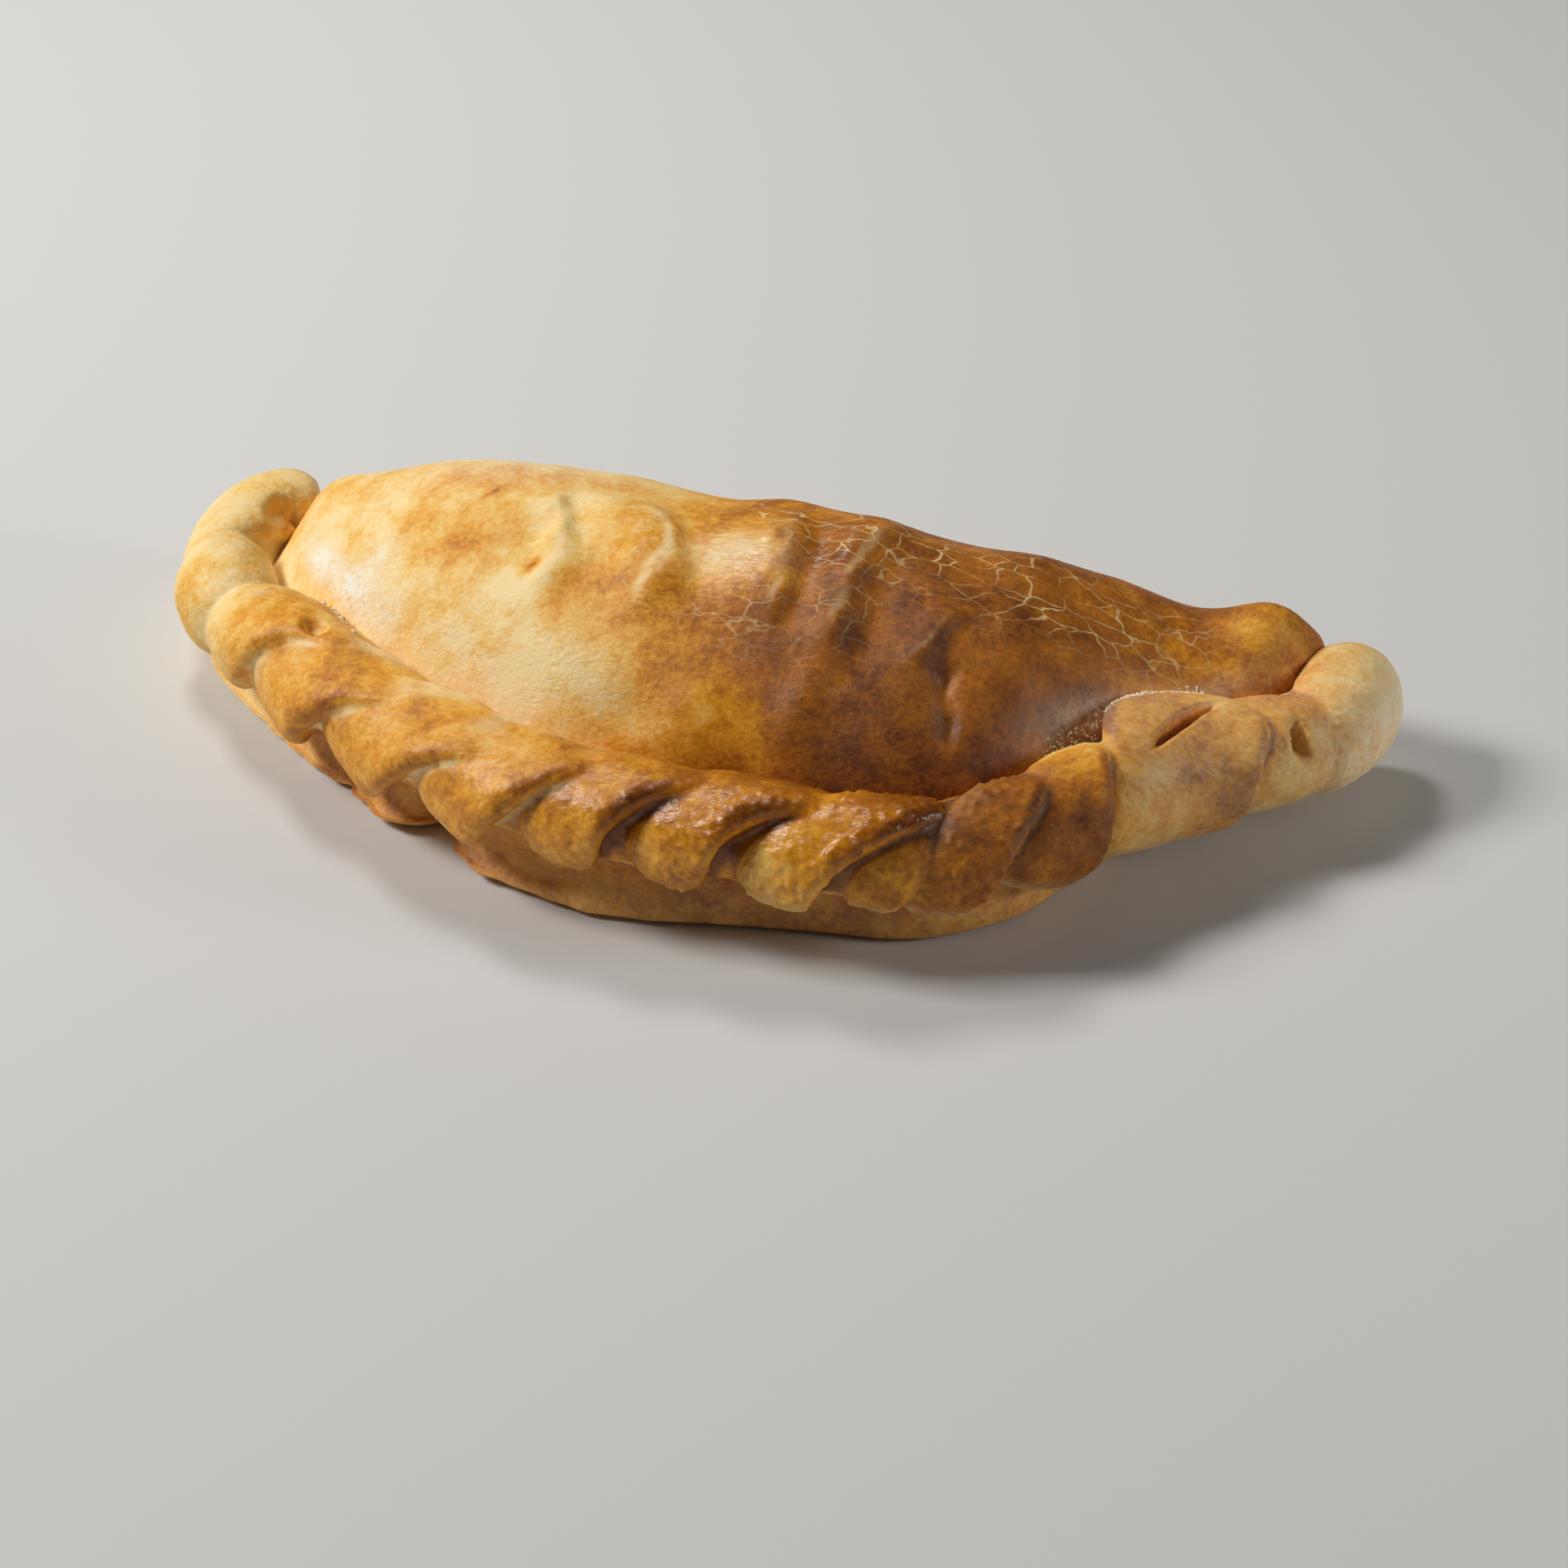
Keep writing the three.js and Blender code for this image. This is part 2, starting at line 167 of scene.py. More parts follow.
# Swellings and creases of the dome: x, y, spread along, spread across, turn, height
SWELLINGS = [
    (-11, -1, 9, 4.5, -60, 1.2),
    (-27, 6, 9, 5, 60, -0.7),
    (1, 3, 6, 7, 0, 1.0),
    (10, 3, 8, 3, -83, -0.8),
    (21, -2, 8, 4, -80, -0.8),
    (0.6, -18.5, 4, 4, 0, 0.7),
    (13.6, -15.9, 4, 2.4, 80, 0.9),
    (-9.7, -19.5, 4, 3, 0, -1.2),
    (39, -2, 7, 3, -85, 0.5),
    (12, 14, 13, 8, 0, 1.4),
    (2.5, 19, 6, 5, 0, 1.3),
    (17.5, 16, 5, 5, 0, 1.1),
    (38, 18, 6, 7, 0, 1.6),
    (68, 25, 6, 9, 0, 2.6),
]

# Waves of the dome, steep on their right, and creases, which go down: width, height, then the points of the
# line from the back
RIDGES = [
    (1.6, 1.2, [(-29, 15), (-27.5, 9), (-24.5, 4.7), (-23, 1), (-23.3, -3), (-24.5, -8)]),
    (2.7, 1.1, [(-25, 8), (-21, 9.5), (-16.5, 10.2), (-12.5, 8), (-10, 4.5), (-9, -0.8), (-10.5, -6.5),
                (-13, -11)]),
    (2.4, 1.2, [(4, 16), (6, 9), (7, 2), (6.4, -3), (6.8, -9)]),
    (2.4, 1.3, [(18, 18), (17, 9), (15.6, 3.5), (16, -2), (15.8, -8), (16.8, -14)]),
    (1.8, 0.9, [(31.5, 3), (29.7, -0.4), (28, -3.9), (25.8, -7), (25, -10)]),
    (2.2, -1.6, [(31, -5), (32, -10.3), (33.5, -15)]),
]
WAVE_RISE = 2.0
WAVE_FALL = 3.5
WAVE_TROUGH = 0.4

# How those lines wander and how uneven they are: size of the waves and their reach or share, with the seeds,
# then the share of a line that fades at either end, and where along it the fade starts
LINE_WANDER = 9
LINE_REACH = 0.8
HEIGHT_WANDER = 7
HEIGHT_SHARE = 0.3
LINE_SEEDS = (3, 4, 5)
LINE_FADE = 0.3
FADE_FROM = -0.01

# Pale line beside a wave's crest, partly dry egg film and partly a painted highlight: how far it lies down
# the gentle side, and its width against the wave's
PALE_SHIFT = 0.3
PALE_WIDTH = 0.4

# Waves that make a line uneven: how many are summed, the spread of their sizes, and what divides the sum
WANDER_WAVES = 6
WANDER_SIZES = (0.6, 1.6)
WANDER_SHARE = 3

# Crumbs and torn dough between the dome and the rope: points of the line that they lie along, spread across
# it, how many, least and most radius
CRUMBS = [
    ([(-59, 2.4), (-55, -1.6), (-51.5, -5)], 0.9, 26, 0.15, 0.5),
    ([(45.3, -8.9), (48.3, -4.4), (51.8, 0.9), (55.4, 5.1), (59.8, 9.3), (62.4, 11.4)], 0.5, 420, 0.08, 0.26),
]
CRUMB_SEED = 5

# Crumbs: steps of their line between its points, power that makes most of them small, share of the radius
# that is sunk in the dough, most turn about each axis, height against width, lumps, and flour
CRUMB_LINE_STEPS = 40
CRUMB_SMALLNESS = 0.6
CRUMB_SUNK = 0.15
CRUMB_TURN = (6.28, 6.28, 6.28)
CRUMB_FLATNESS = 0.6
CRUMB_LUMPS = 0.5 * MM
CRUMB_LUMP_DEPTH = 0.3 * MM
CRUMB_FLOUR = 0.75

# How far the torn edge of the base curls up off the table, against the length along the rope
LIP_CURL = [
    (0, 0), (40, 0), (60, 0.3), (74, 0.6), (79, 1.2), (84, 0.2), (88, 0.9), (95, 0.5), (105, 0), (150, 0),
    (158, 0.6), (166, 0), (224, 0),
]

# Rags of that edge: depth, size and share of each wave, and where along the rope they come in and go out,
# then its notches: length along, half length, squareness and depth
LIP_RAGS = 0.22
LIP_RAG_WAVES = ((4, 1), (13, 2))
LIP_RAGS_START = (36, 50)
LIP_RAGS_END = (-122, -105)
LIP_SEED = 17
LIP_NOTCHES = [(82.5, 2.2, 4, 2.6), (66, 1.2, 2, 0.9)]

# Browner and paler patches of the dome: x, y, spread along, spread across, turn, amount
DOME_BAKING_AND_PAINTED_LIGHT = [
    (-54, 5, 9, 6, 0, -0.04),
    (-38, 4, 5.5, 3.6, 20, 0.2),
    (-30, 4, 3.5, 3, 0, 0.16),
    (-21.5, -6, 2.6, 4.5, 0, 0.2),
    (-28.6, -10, 5, 3, -20, 0.14),
    (-48, 9, 5, 2.5, -20, 0.16),
    (-31, -4, 5, 2, 0, -0.14),
    (-37, -8.5, 5, 2.5, -20, -0.12),
    (-22, 12, 5, 2, 10, -0.14),
    (-27.0, -1.4, 1.2, 1.2, 0, 0.6),
    (-37, 12, 1.7, 0.35, 50, 0.36),
    (-16, -1, 3.5, 8, 15, 0.18),
    # Painted light: the middle front slope is paler where it faces away from the key light
    (-22, -13, 12, 6, -25, -0.2),
    (-39, 17, 16, 6, 0, 0.14),
    (0, -9, 8, 5, 0, 0.16),
    (2, -18.6, 8, 3, 0, -0.2),
    # Painted highlight: the bulge in the middle is paler where the egg wash catches the light
    (1, 4, 7, 6, 0, -0.3),
    (22, -2, 10, 14, 0, 0.15),
    (24, -13, 8, 6, 0, 0.1),
    (37, 1, 8, 10, 0, 0.12),
    (21, -2.5, 2.6, 3, 0, -0.16),
    (25.5, -4.5, 2.4, 3, 60, -0.14),
    (33, -2.5, 2.5, 4, 60, -0.16),
    (39.5, -3, 2.2, 3.4, 60, -0.16),
    (43.5, 3.4, 2.4, 3, 60, -0.12),
    (47, 14, 14, 8, -25, 0.06),
    (70, 23, 7, 7, 0, -0.26),
    (60, 15, 9, 5, 25, -0.12),
    (55, 7, 9, 2.5, 25, -0.3),
]
DOME_SHINE = [
    (2, -18.6, 9, 4, 0, 0.5),
    (1, 3, 8, 7, 0, 0.7),
    (13, 7, 3, 5, 0, 0.5),
    (-14, 6, 6, 8, 0, 0.5),
    (22, -1, 9, 10, 0, -0.2),
    (70, 23, 8, 8, 0, -0.3),
]
DOME_CRACKLE = [
    (8, 12, 14, 6, 0, 0.9),
    (30, 12, 20, 7, 0, 1.0),
    (50, 14, 14, 6, 20, 0.9),
    (16, -3, 3.5, 11, 0, 0.7),
    (2, -5, 9, 5, 0, 0.6),
    (-12, -4, 5, 9, 0, 0.4),
    (-24, 2, 4, 10, 0, 0.4),
]
DOME_WRINKLES = [
    (1, 4, 9, 7, 0, 1.0),
    (12, 12, 13, 9, 0, 0.8),
    (-10, -5, 14, 9, -20, 0.45),
    (22, -2, 8, 9, 0, 0.4),
    (-35, 5, 20, 16, 0, 0.25),
]
DOME_FLOUR_AND_HIGHLIGHT = [
    (-62, 9.5, 4.5, 1.7, -48, 1.0),
    (-55, 2.8, 5.5, 1.7, -44, 1.0),
    (-52, 5, 3, 2.4, 20, 0.5),
    (47, -4, 9, 2.2, 52, 0.2),
    (-48, -2.5, 3, 2, -40, 0.4),
    (-30, -16, 9, 3, -25, 0.25),
    (56.3, 5.3, 12, 1.5, 42, 0.55),
    (-35, 20, 20, 6, 0, 0.3),
    # Painted highlight: a whitish flour tone on the bulge where the egg wash catches the light
    (0, 3, 6, 4, 0, 0.4),
]

# Looks of the dome. Three numbers are an amount and the range over which it comes in, and a pair is a range
# alone, in drawn x or in places across the pocket.
DOME_STARTS = (VALLEY_AT - 0.24, VALLEY_AT - 0.08)
DOME_BAKE = 0.21
BROWNER_RIGHT = (0.54, -28, 16)
# Painted shade: the right of the dome darkens down its front slope into the valley where the rope shades it
VALLEY_PAINTED_SHADE = (0.1, 0, 25)
VALLEY_SHADE_SLOPE = (0.35, 0.66)
# The wall and lip under the rope: partly baked colour and partly painted shade from the rope above
WALL_BAKE_AND_SHADE = 0.5
PALER_LEFT_WALL = (0.26, 48, 72)
DOME_GLOSS = 0.12
GLOSSIER_RIGHT = (0.14, -18, 12)
WALL_GLOSS = 0.1
WALL_FLOUR = 0.12
# Pale crest lines of the dome, partly dry egg film and partly a painted highlight
CREST_PALE_AND_HIGHLIGHT = 0.9
CREST_FADES = (0.6, -8, 6)
CREST_LINE = (0.5, 0.95)

# Looks of the rope in the same form, by degrees round it, length along it, side of a fold or depth of a
# hollow in millimetres
SEAM_BEHIND_FOLD = (0.9, 0.1, 0.5)
SEAM_ON_TOP = (-30, 10)
SEAM_DEPTH = (0.02, 0.1)
UNDERSIDE = (20, 65)
UNDERSIDE_ENDS = -125
UNDERSIDE_PALER = 0.06
UNDERSIDE_DULLER = 0.8
BROWNER_CREST = (0.26, 0.3, 0.55)
TOP_OF_ROPE = (10, 60)
# Painted shade in the grooves between the later folds: amount and hollow depths, then the lengths along the
# rope where it comes in
GROOVE_PAINTED_SHADE = (0.4, 0.0, 0.25)
PAINTED_SHADE_GROOVES = (85, 115)
BLISTERED_CREST = (0.05, 0.3)
ROPE_WRINKLES = 0.35
RIGHT_FILM = (0.14, 172, 184)
# The end lobe's lower side: partly flour and partly painted light that brightens it where it lies in shade
END_FLOUR_AND_LIGHT = (0.46, 204, 220)
END_FLOUR_AND_LIGHT_SIDE = (-75, -10)

# Relief of the crust: name, how it is drawn out, detail of its noise, and the point values that limit it,
# then its sizes, the distance from a blister's middle to its foot and top, and the heights above the table
# below which it is flat and above which it is full
RELIEF_FORMS = (
    ("Lump", (1, 1, 1), 2.0, None),
    ("Wrinkle", (0.3, 1, 0.7), 1.5, "wrinkle"),
    ("Grain", (1, 1, 1), 1.0, None),
)
POCKET_LUMPS = 14 * MM
ROPE_LUMPS = 7 * MM
WRINKLE_SIZE = 1.1 * MM
GRAIN_SIZE = 0.9 * MM
BLISTER_SIZE = 1.3 * MM
BLISTER_FOOT = 0.55
BLISTER_TOP = 0.1
FLAT_BELOW = 0.3 * MM
FULL_ABOVE = 2 * MM

# Mottling of the bake: size in millimetres, amount, and the range of the noise that is used, then the places
# of the colours from cream to brown
MOTTLING = ((11, 0.18, 0.34, 0.66), (3.4, 0.13, 0.34, 0.66), (0.8, 0.12, 0.3, 0.7))
FIBRE_MOTTLING = 0.15
BAKE_STOPS = (0.08, 0.28, 0.46, 0.68, 1.0)

# Studio: half the floor in metres, and for each square light its place, its size and its power in watts
FLOOR_HALF = 3.0
FLOOR_ROUGHNESS = 0.85
WORLD_STRENGTH = 0.05
LIGHT_AIM = (0, 0, 15)
LIGHTS = [
    ("key", (-800, -160, 720), 300, 8.6),
    ("back", (-250, 290, 560), 150, 1.5),
    ("glint", (-250, 290, 560), 70, 1.1),
    ("rim", (650, 40, 240), 160, 1.2),
]

# Camera of the photograph: turn to the right, look down, lens, distance, drawn point that it aims by and
# that point's pixel
PHOTO_SIZE = 1932
SENSOR_WIDTH = 36.0
CAMERA_TURN = 15.0
CAMERA_DOWN = 36.0
CAMERA_LENS = 85.0
CAMERA_DISTANCE = 503.0
CAMERA_AIM = np.array([0.0, 0.0, 12.0])
AIM_PIXEL = (900.0, 868.0)
CLIP_START = 0.01


def linear(code):
    """Turns an sRGB hex colour to the linear colour that the shaders use."""
    parts = [int(code[k:k + 2], 16) / 255 for k in (1, 3, 5)]
    return tuple(p / 12.92 if p <= 0.04045 else ((p + 0.055) / 1.055) ** 2.4 for p in parts) + (1.0,)


class EmpanadaSizes(bpy.types.PropertyGroup):
    """Sizes of the crust that a user would change."""

    rope_radius: bpy.props.FloatProperty(
        name="Rope radius", description="Radius of the rolled edge", default=7.8 * MM, min=0, unit="LENGTH")
    core_share: bpy.props.FloatProperty(
        name="Core share", description="Part of the rope's radius that its core fills", default=0.76,
        subtype="FACTOR")
    valley_height: bpy.props.FloatProperty(
        name="Valley height", description="Height of the dome where it meets the rope", default=16 * MM,
        min=0, unit="LENGTH")
    lip_thickness: bpy.props.FloatProperty(
        name="Lip thickness", description="Thickness of the base where it shows under the rope",
        default=1.2 * MM, min=0, unit="LENGTH")
    back_rounding: bpy.props.FloatProperty(
        name="Back rounding", description="Height of the turn at the back fold", default=6 * MM, min=0,
        unit="LENGTH")
    lump_depth: bpy.props.FloatProperty(
        name="Lump depth", description="Depth of the hand-made unevenness", default=0.45 * MM, min=0,
        unit="LENGTH")
    wrinkle_depth: bpy.props.FloatProperty(
        name="Wrinkle depth", description="Depth of the skin's wrinkles", default=0.22 * MM, min=0,
        unit="LENGTH")
    grain_depth: bpy.props.FloatProperty(
        name="Grain depth", description="Depth of the crumb's grain", default=0.05 * MM, min=0, unit="LENGTH")
    blister_depth: bpy.props.FloatProperty(
        name="Blister depth", description="Height of the blisters on the folds", default=0.42 * MM, min=0,
        unit="LENGTH")


class EmpanadaColours(bpy.types.PropertyGroup):
    """Colours of the crust and the floor that a user would change."""

    cream: bpy.props.FloatVectorProperty(
        name="Cream", description="Dough that the oven hardly coloured", subtype="COLOR", size=4,
        min=0, max=1, default=linear("#f5d89a"))
    straw: bpy.props.FloatVectorProperty(
        name="Straw", description="Lightly baked dough", subtype="COLOR", size=4,
        min=0, max=1, default=linear("#efbf62"))
    gold: bpy.props.FloatVectorProperty(
        name="Gold", description="Baked dough", subtype="COLOR", size=4,
        min=0, max=1, default=linear("#e39a20"))
    amber: bpy.props.FloatVectorProperty(
        name="Amber", description="Well baked egg wash", subtype="COLOR", size=4,
        min=0, max=1, default=linear("#b1680d"))
    brown: bpy.props.FloatVectorProperty(
        name="Brown", description="Darkest baked crests", subtype="COLOR", size=4,
        min=0, max=1, default=linear("#6b3607"))
    flour: bpy.props.FloatVectorProperty(
        name="Flour", description="Flour and torn dough", subtype="COLOR", size=4,
        min=0, max=1, default=linear("#f4eedc"))
    floor: bpy.props.FloatVectorProperty(
        name="Floor", description="Studio floor", subtype="COLOR", size=4,
        min=0, max=1, default=linear("#d4d2ce"))


def add(tree, kind, inputs=(), **settings):
    """Adds one node with its settings, and links or fills its inputs."""
    made = tree.nodes.new(kind)
    for name, value in settings.items():
        setattr(made, name, value)
    for key, value in dict(inputs).items():
        if isinstance(value, bpy.types.Node):
            value = value.outputs[0]
        if isinstance(value, bpy.types.NodeSocket):
            tree.links.new(value, made.inputs[key])
        else:
            made.inputs[key].default_value = value
    return made


def new_tree(name, inputs, outputs=(("Geometry", "NodeSocketGeometry"),)):
    """An empty node tree with its named inputs and outputs, and its two end nodes."""
    tree = bpy.data.node_groups.new(name, "GeometryNodeTree")
    for label, kind in inputs:
        tree.interface.new_socket(label, in_out="INPUT", socket_type=kind)
    for label, kind in outputs:
        tree.interface.new_socket(label, in_out="OUTPUT", socket_type=kind)
    return tree, add(tree, "NodeGroupInput"), add(tree, "NodeGroupOutput")


def evaluate(source, tree=None, values=(), name="made"):
    """Runs a tree on an object, and gives the result as a plain mesh with no modifier left."""
    if tree is not None:
        modifier = source.modifiers.new(name, "NODES")
        modifier.node_group = tree
        wanted = dict(values)
        for item in tree.interface.items_tree:
            if item.in_out == "INPUT" and item.name in wanted:
                modifier[item.identifier] = wanted[item.name]
    graph = bpy.context.evaluated_depsgraph_get()
    mesh = bpy.data.meshes.new_from_object(source.evaluated_get(graph), depsgraph=graph)
    mesh.name = name
    bpy.data.objects.remove(source)
    return mesh


def end_tree(tree, given, made, geometry):
    """Ends a tree in real, smoothly shaded geometry with the crust's material."""
    smooth = add(tree, "GeometryNodeSetShadeSmooth", {0: geometry})
    real = add(tree, "GeometryNodeRealizeInstances", {0: smooth})
    coated = add(tree, "GeometryNodeSetMaterial", {"Geometry": real, "Material": given.outputs["Crust"]})
    tree.links.new(coated.outputs[0], made.inputs[0])
    return tree


def hold(name, data):
    """An object at the origin that carries some data."""
    made = bpy.data.objects.new(name, data)
    bpy.context.scene.collection.objects.link(made)
    return made


def finish_piece(name, mesh):
    """Makes the mesh a shown piece of the crust."""
    if not mesh.polygons:
        raise RuntimeError(f"{name} came out empty")
    piece = hold(name, mesh)
    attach(piece, BODY)
    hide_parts(NODE)
    return piece


def to_metres(points):
    """Moves drawn millimetres to the part's frame in metres."""
    return (np.asarray(points, float) - DRAWN_MIDDLE) * MM


def to_drawn(points):
    """Moves the part's frame in metres back to drawn millimetres."""
    return np.asarray(points, float) / MM + DRAWN_MIDDLE


def read_points(mesh):
    """The mesh's points as an array."""
    flat = np.empty(len(mesh.vertices) * 3, np.float32)
    mesh.vertices.foreach_get("co", flat)
    return flat.reshape(-1, 3).astype(float)


def write_points(mesh, points):
    """Moves the mesh's points."""
    mesh.vertices.foreach_set("co", points.astype(np.float32).ravel())
    mesh.update()


def read_values(mesh, name):
    """One named number for each point of the mesh."""
    values = np.empty(len(mesh.vertices), np.float32)
    mesh.attributes[name].data.foreach_get("value", values)
    return values


def write_values(mesh, name, values):
    """Keeps one number for each point, under the name that the trees and the material read."""
    made = mesh.attributes.new(name, "FLOAT", "POINT")
    made.data.foreach_set("value", np.asarray(values, np.float32))


def write_baking(mesh, **values):
    """Keeps what the material and the relief read at each point of the crust."""
    for name, numbers in values.items():
        write_values(mesh, name, numbers)


def smoothstep(value, low, high):
    """Goes smoothly from 0 at low to 1 at high."""
    t = np.clip((value - low) / (high - low), 0, 1)
    return t * t * (3 - 2 * t)


def ramp(value, amount, low, high):
    """Goes smoothly from 0 at low to the amount at high."""
    return amount * smoothstep(value, low, high)


def blend(start, end, share):
    """Goes from the start to the end by a share."""
    return start + (end - start) * share


def curve_through(points, place):
    """Smooth curve through a short list of points."""
    p = np.array(points, float)
    k = np.arange(len(p))
    before, after = np.maximum(k - 1, 0), np.minimum(k + 1, len(p) - 1)
    slope = (p[after, 1] - p[before, 1]) / (p[after, 0] - p[before, 0])
    place = np.clip(place, p[0, 0], p[-1, 0])
    i = np.clip(np.searchsorted(p[:, 0], place) - 1, 0, len(p) - 2)
    h = p[i + 1, 0] - p[i, 0]
    t = (place - p[i, 0]) / h
    return ((2 * t**3 - 3 * t**2 + 1) * p[i, 1] + (t**3 - 2 * t**2 + t) * h * slope[i]
            + (3 * t**2 - 2 * t**3) * p[i + 1, 1] + (t**3 - t**2) * h * slope[i + 1])


def oval(along, across, half_along, half_across, turn):
    """Squared distance from the middle of a turned oval, which is 1 on its edge."""
    a = math.radians(turn)
    far = ((along * math.cos(a) + across * math.sin(a)) / half_along) ** 2
    return far + ((across * math.cos(a) - along * math.sin(a)) / half_across) ** 2


def patches(x, y, rows):
    """Sum of soft oval patches: x, y, spread along, spread across, turn, amount."""
    total = np.zeros_like(x)
    for middle_x, middle_y, along, across, turn, amount in rows:
        total += amount * np.exp(-oval(x - middle_x, y - middle_y, along, across, turn))
    return total


def smooth_line(points, steps=6):
    """Points on a smooth line through a short list of points."""
    t = np.linspace(0, len(points) - 1, steps * (len(points) - 1) + 1)
    return np.stack([curve_through(list(enumerate(values)), t) for values in zip(*points)], -1)


def from_line(x, y, line):
    """Distance in plan to a line of points, positive on its left hand, and a fade at its two ends."""
    best = np.full(x.shape, np.inf)
    side, at, run = np.ones(x.shape), np.zeros(x.shape), 0.0
    for (x0, y0), (x1, y1) in zip(line, line[1:]):
        span = math.hypot(x1 - x0, y1 - y0)
        t = np.clip(((x - x0) * (x1 - x0) + (y - y0) * (y1 - y0)) / span**2, 0, 1)
        far = np.hypot(x - x0 - t * (x1 - x0), y - y0 - t * (y1 - y0))
        closer = far < best
        at = np.where(closer, run + t * span, at)
        side = np.where(closer, np.sign((x1 - x0) * (y - y0) - (y1 - y0) * (x - x0)), side)
        best = np.minimum(best, far)
        run += span
    fade = run * LINE_FADE
    ends = smoothstep(at, FADE_FROM, fade) * smoothstep(run - at, FADE_FROM, fade)
    return best * side, ends


def wander(x, y, size, seed):
    """Soft seeded waves of about one unit, to make drawn lines uneven."""
    draw = np.random.default_rng(seed)
    total = np.zeros(x.shape)
    for _ in range(WANDER_WAVES):
        turn, phase = draw.uniform(0, 2 * np.pi, 2)
        step = 2 * np.pi / (size * draw.uniform(*WANDER_SIZES))
        total += np.sin((x * np.cos(turn) + y * np.sin(turn)) * step + phase)
    return total / WANDER_SHARE


def ridges(x, y):
    """Height of the dome's waves and creases, and how close each point is to a crest's pale line, partly a
    painted highlight.
    """
    height, pale = np.zeros(x.shape), np.zeros(x.shape)
    shift_x, shift_y = [wander(x, y, LINE_WANDER, seed) * LINE_REACH for seed in LINE_SEEDS[:2]]
    x, y = x + shift_x, y + shift_y
    uneven = 1 + HEIGHT_SHARE * wander(x, y, HEIGHT_WANDER, LINE_SEEDS[2])
    for width, rise, line in RIDGES:
        far, ends = from_line(x, y, smooth_line(line))
        near = np.exp(-((far / width) ** 2))
        if rise > 0:
            trough = WAVE_TROUGH * np.exp(-((far / (width * WAVE_FALL)) ** 2))
            left = np.exp(-((far / (width * WAVE_RISE)) ** 2))
            height += rise * ends * uneven * np.where(far > 0, (1 + WAVE_TROUGH) * near - trough, left)
            beside = np.exp(-(((far + PALE_SHIFT) / (PALE_WIDTH * width)) ** 2))
            pale = np.maximum(pale, ends * min(rise, 1) * beside)
        else:
            height += rise * ends * uneven * near
    return height, pale


def edge_line():
    """Points of the rope's middle on a smooth line, with the length to each and the direction there."""
    first, last = 2 * EDGE_POINTS[0] - EDGE_POINTS[1], 2 * EDGE_POINTS[-1] - EDGE_POINTS[-2]
    p = np.vstack([first, EDGE_POINTS, last])
    spans = []
    for p0, p1, p2, p3 in zip(p, p[1:], p[2:], p[3:]):
        d0, d1, d2 = [math.sqrt(math.dist(a, b)) for a, b in ((p0, p1), (p1, p2), (p2, p3))]
        leave = ((p1 - p0) / d0 - (p2 - p0) / (d0 + d1) + (p2 - p1) / d1) * d1
        arrive = ((p2 - p1) / d1 - (p3 - p1) / (d1 + d2) + (p3 - p2) / d2) * d1
        t = np.linspace(0, 1, EDGE_STEPS, endpoint=False)[:, None]
        spans.append(p1 + leave * t + (3 * (p2 - p1) - 2 * leave - arrive) * t**2
                     + (2 * (p1 - p2) + leave + arrive) * t**3)
    line = np.vstack([*spans, EDGE_POINTS[-1:]])
    length = np.concatenate([[0], np.cumsum(np.linalg.norm(np.diff(line, axis=0), axis=1))])
    along = np.gradient(line, length, axis=0)
    along /= np.linalg.norm(along, axis=1, keepdims=True)
    return line, length, along


EDGE, EDGE_LENGTH, EDGE_ALONG = edge_line()


def edge_frame(length):
    """Middle of the rope and the level direction outwards, at lengths along it."""
    middle, along = [
        np.stack([np.interp(length, EDGE_LENGTH, values[:, k]) for k in range(3)], -1)
        for values in (EDGE, EDGE_ALONG)
    ]
    outward = np.stack([along[:, 1], -along[:, 0], 0 * length], -1)
    return middle, outward / np.linalg.norm(outward, axis=1, keepdims=True)


SEARCH_BATCH = 4000


def round_the_rope(points):
    """Length along the rope, degrees round it, distance from its middle and the way out, for drawn points."""
    nearest = np.empty(len(points), int)
    for start in range(0, len(points), SEARCH_BATCH):
        batch = slice(start, start + SEARCH_BATCH)
        nearest[batch] = ((points[batch, None] - EDGE[None]) ** 2).sum(2).argmin(1)
    middle, outward = edge_frame(EDGE_LENGTH[nearest])
    away = points - middle
    out, up = (away * outward).sum(1), away[:, 2]
    return EDGE_LENGTH[nearest], np.degrees(np.arctan2(up, out)), np.hypot(out, up), outward


def closed_rings(rings, tips):
    """Points and faces of a skin through rings of points, closed by a fan at either tip."""
    count, round_count = rings.shape[:2]
    i, j = np.meshgrid(np.arange(count - 1), np.arange(round_count), indexing="ij")
    k = (j + 1) % round_count
    across = [i * round_count + j, (i + 1) * round_count + j, (i + 1) * round_count + k, i * round_count + k]
    quads = np.stack(across, -1).reshape(-1, 4)
    j = np.arange(round_count)
    k = (j + 1) % round_count
    first = np.stack([np.full(round_count, count * round_count), j, k], -1)
    end = (count - 1) * round_count
    last = np.stack([np.full(round_count, count * round_count + 1), end + k, end + j], -1)
    return np.concatenate([rings.reshape(-1, 3), tips]), quads.tolist() + first.tolist() + last.tolist()


POCKET_STATIONS = 430
POCKET_TOP = 180
POCKET_BASE = 24


def lip_spare(length):
    """How far the torn lip of the base reaches past its mean, at lengths along the rope."""
    spare = curve_through(LIP_REACH, length) - LIP_MEAN
    rags = sum(share * wander(length, 0 * length, size, LIP_SEED + k)
               for k, (size, share) in enumerate(LIP_RAG_WAVES))
    spare += LIP_RAGS * rags * smoothstep(length, *LIP_RAGS_START) * smoothstep(-length, *LIP_RAGS_END)
    return spare - sum(depth * np.exp(-(((length - at) / half) ** squareness))
                       for at, half, squareness, depth in LIP_NOTCHES)


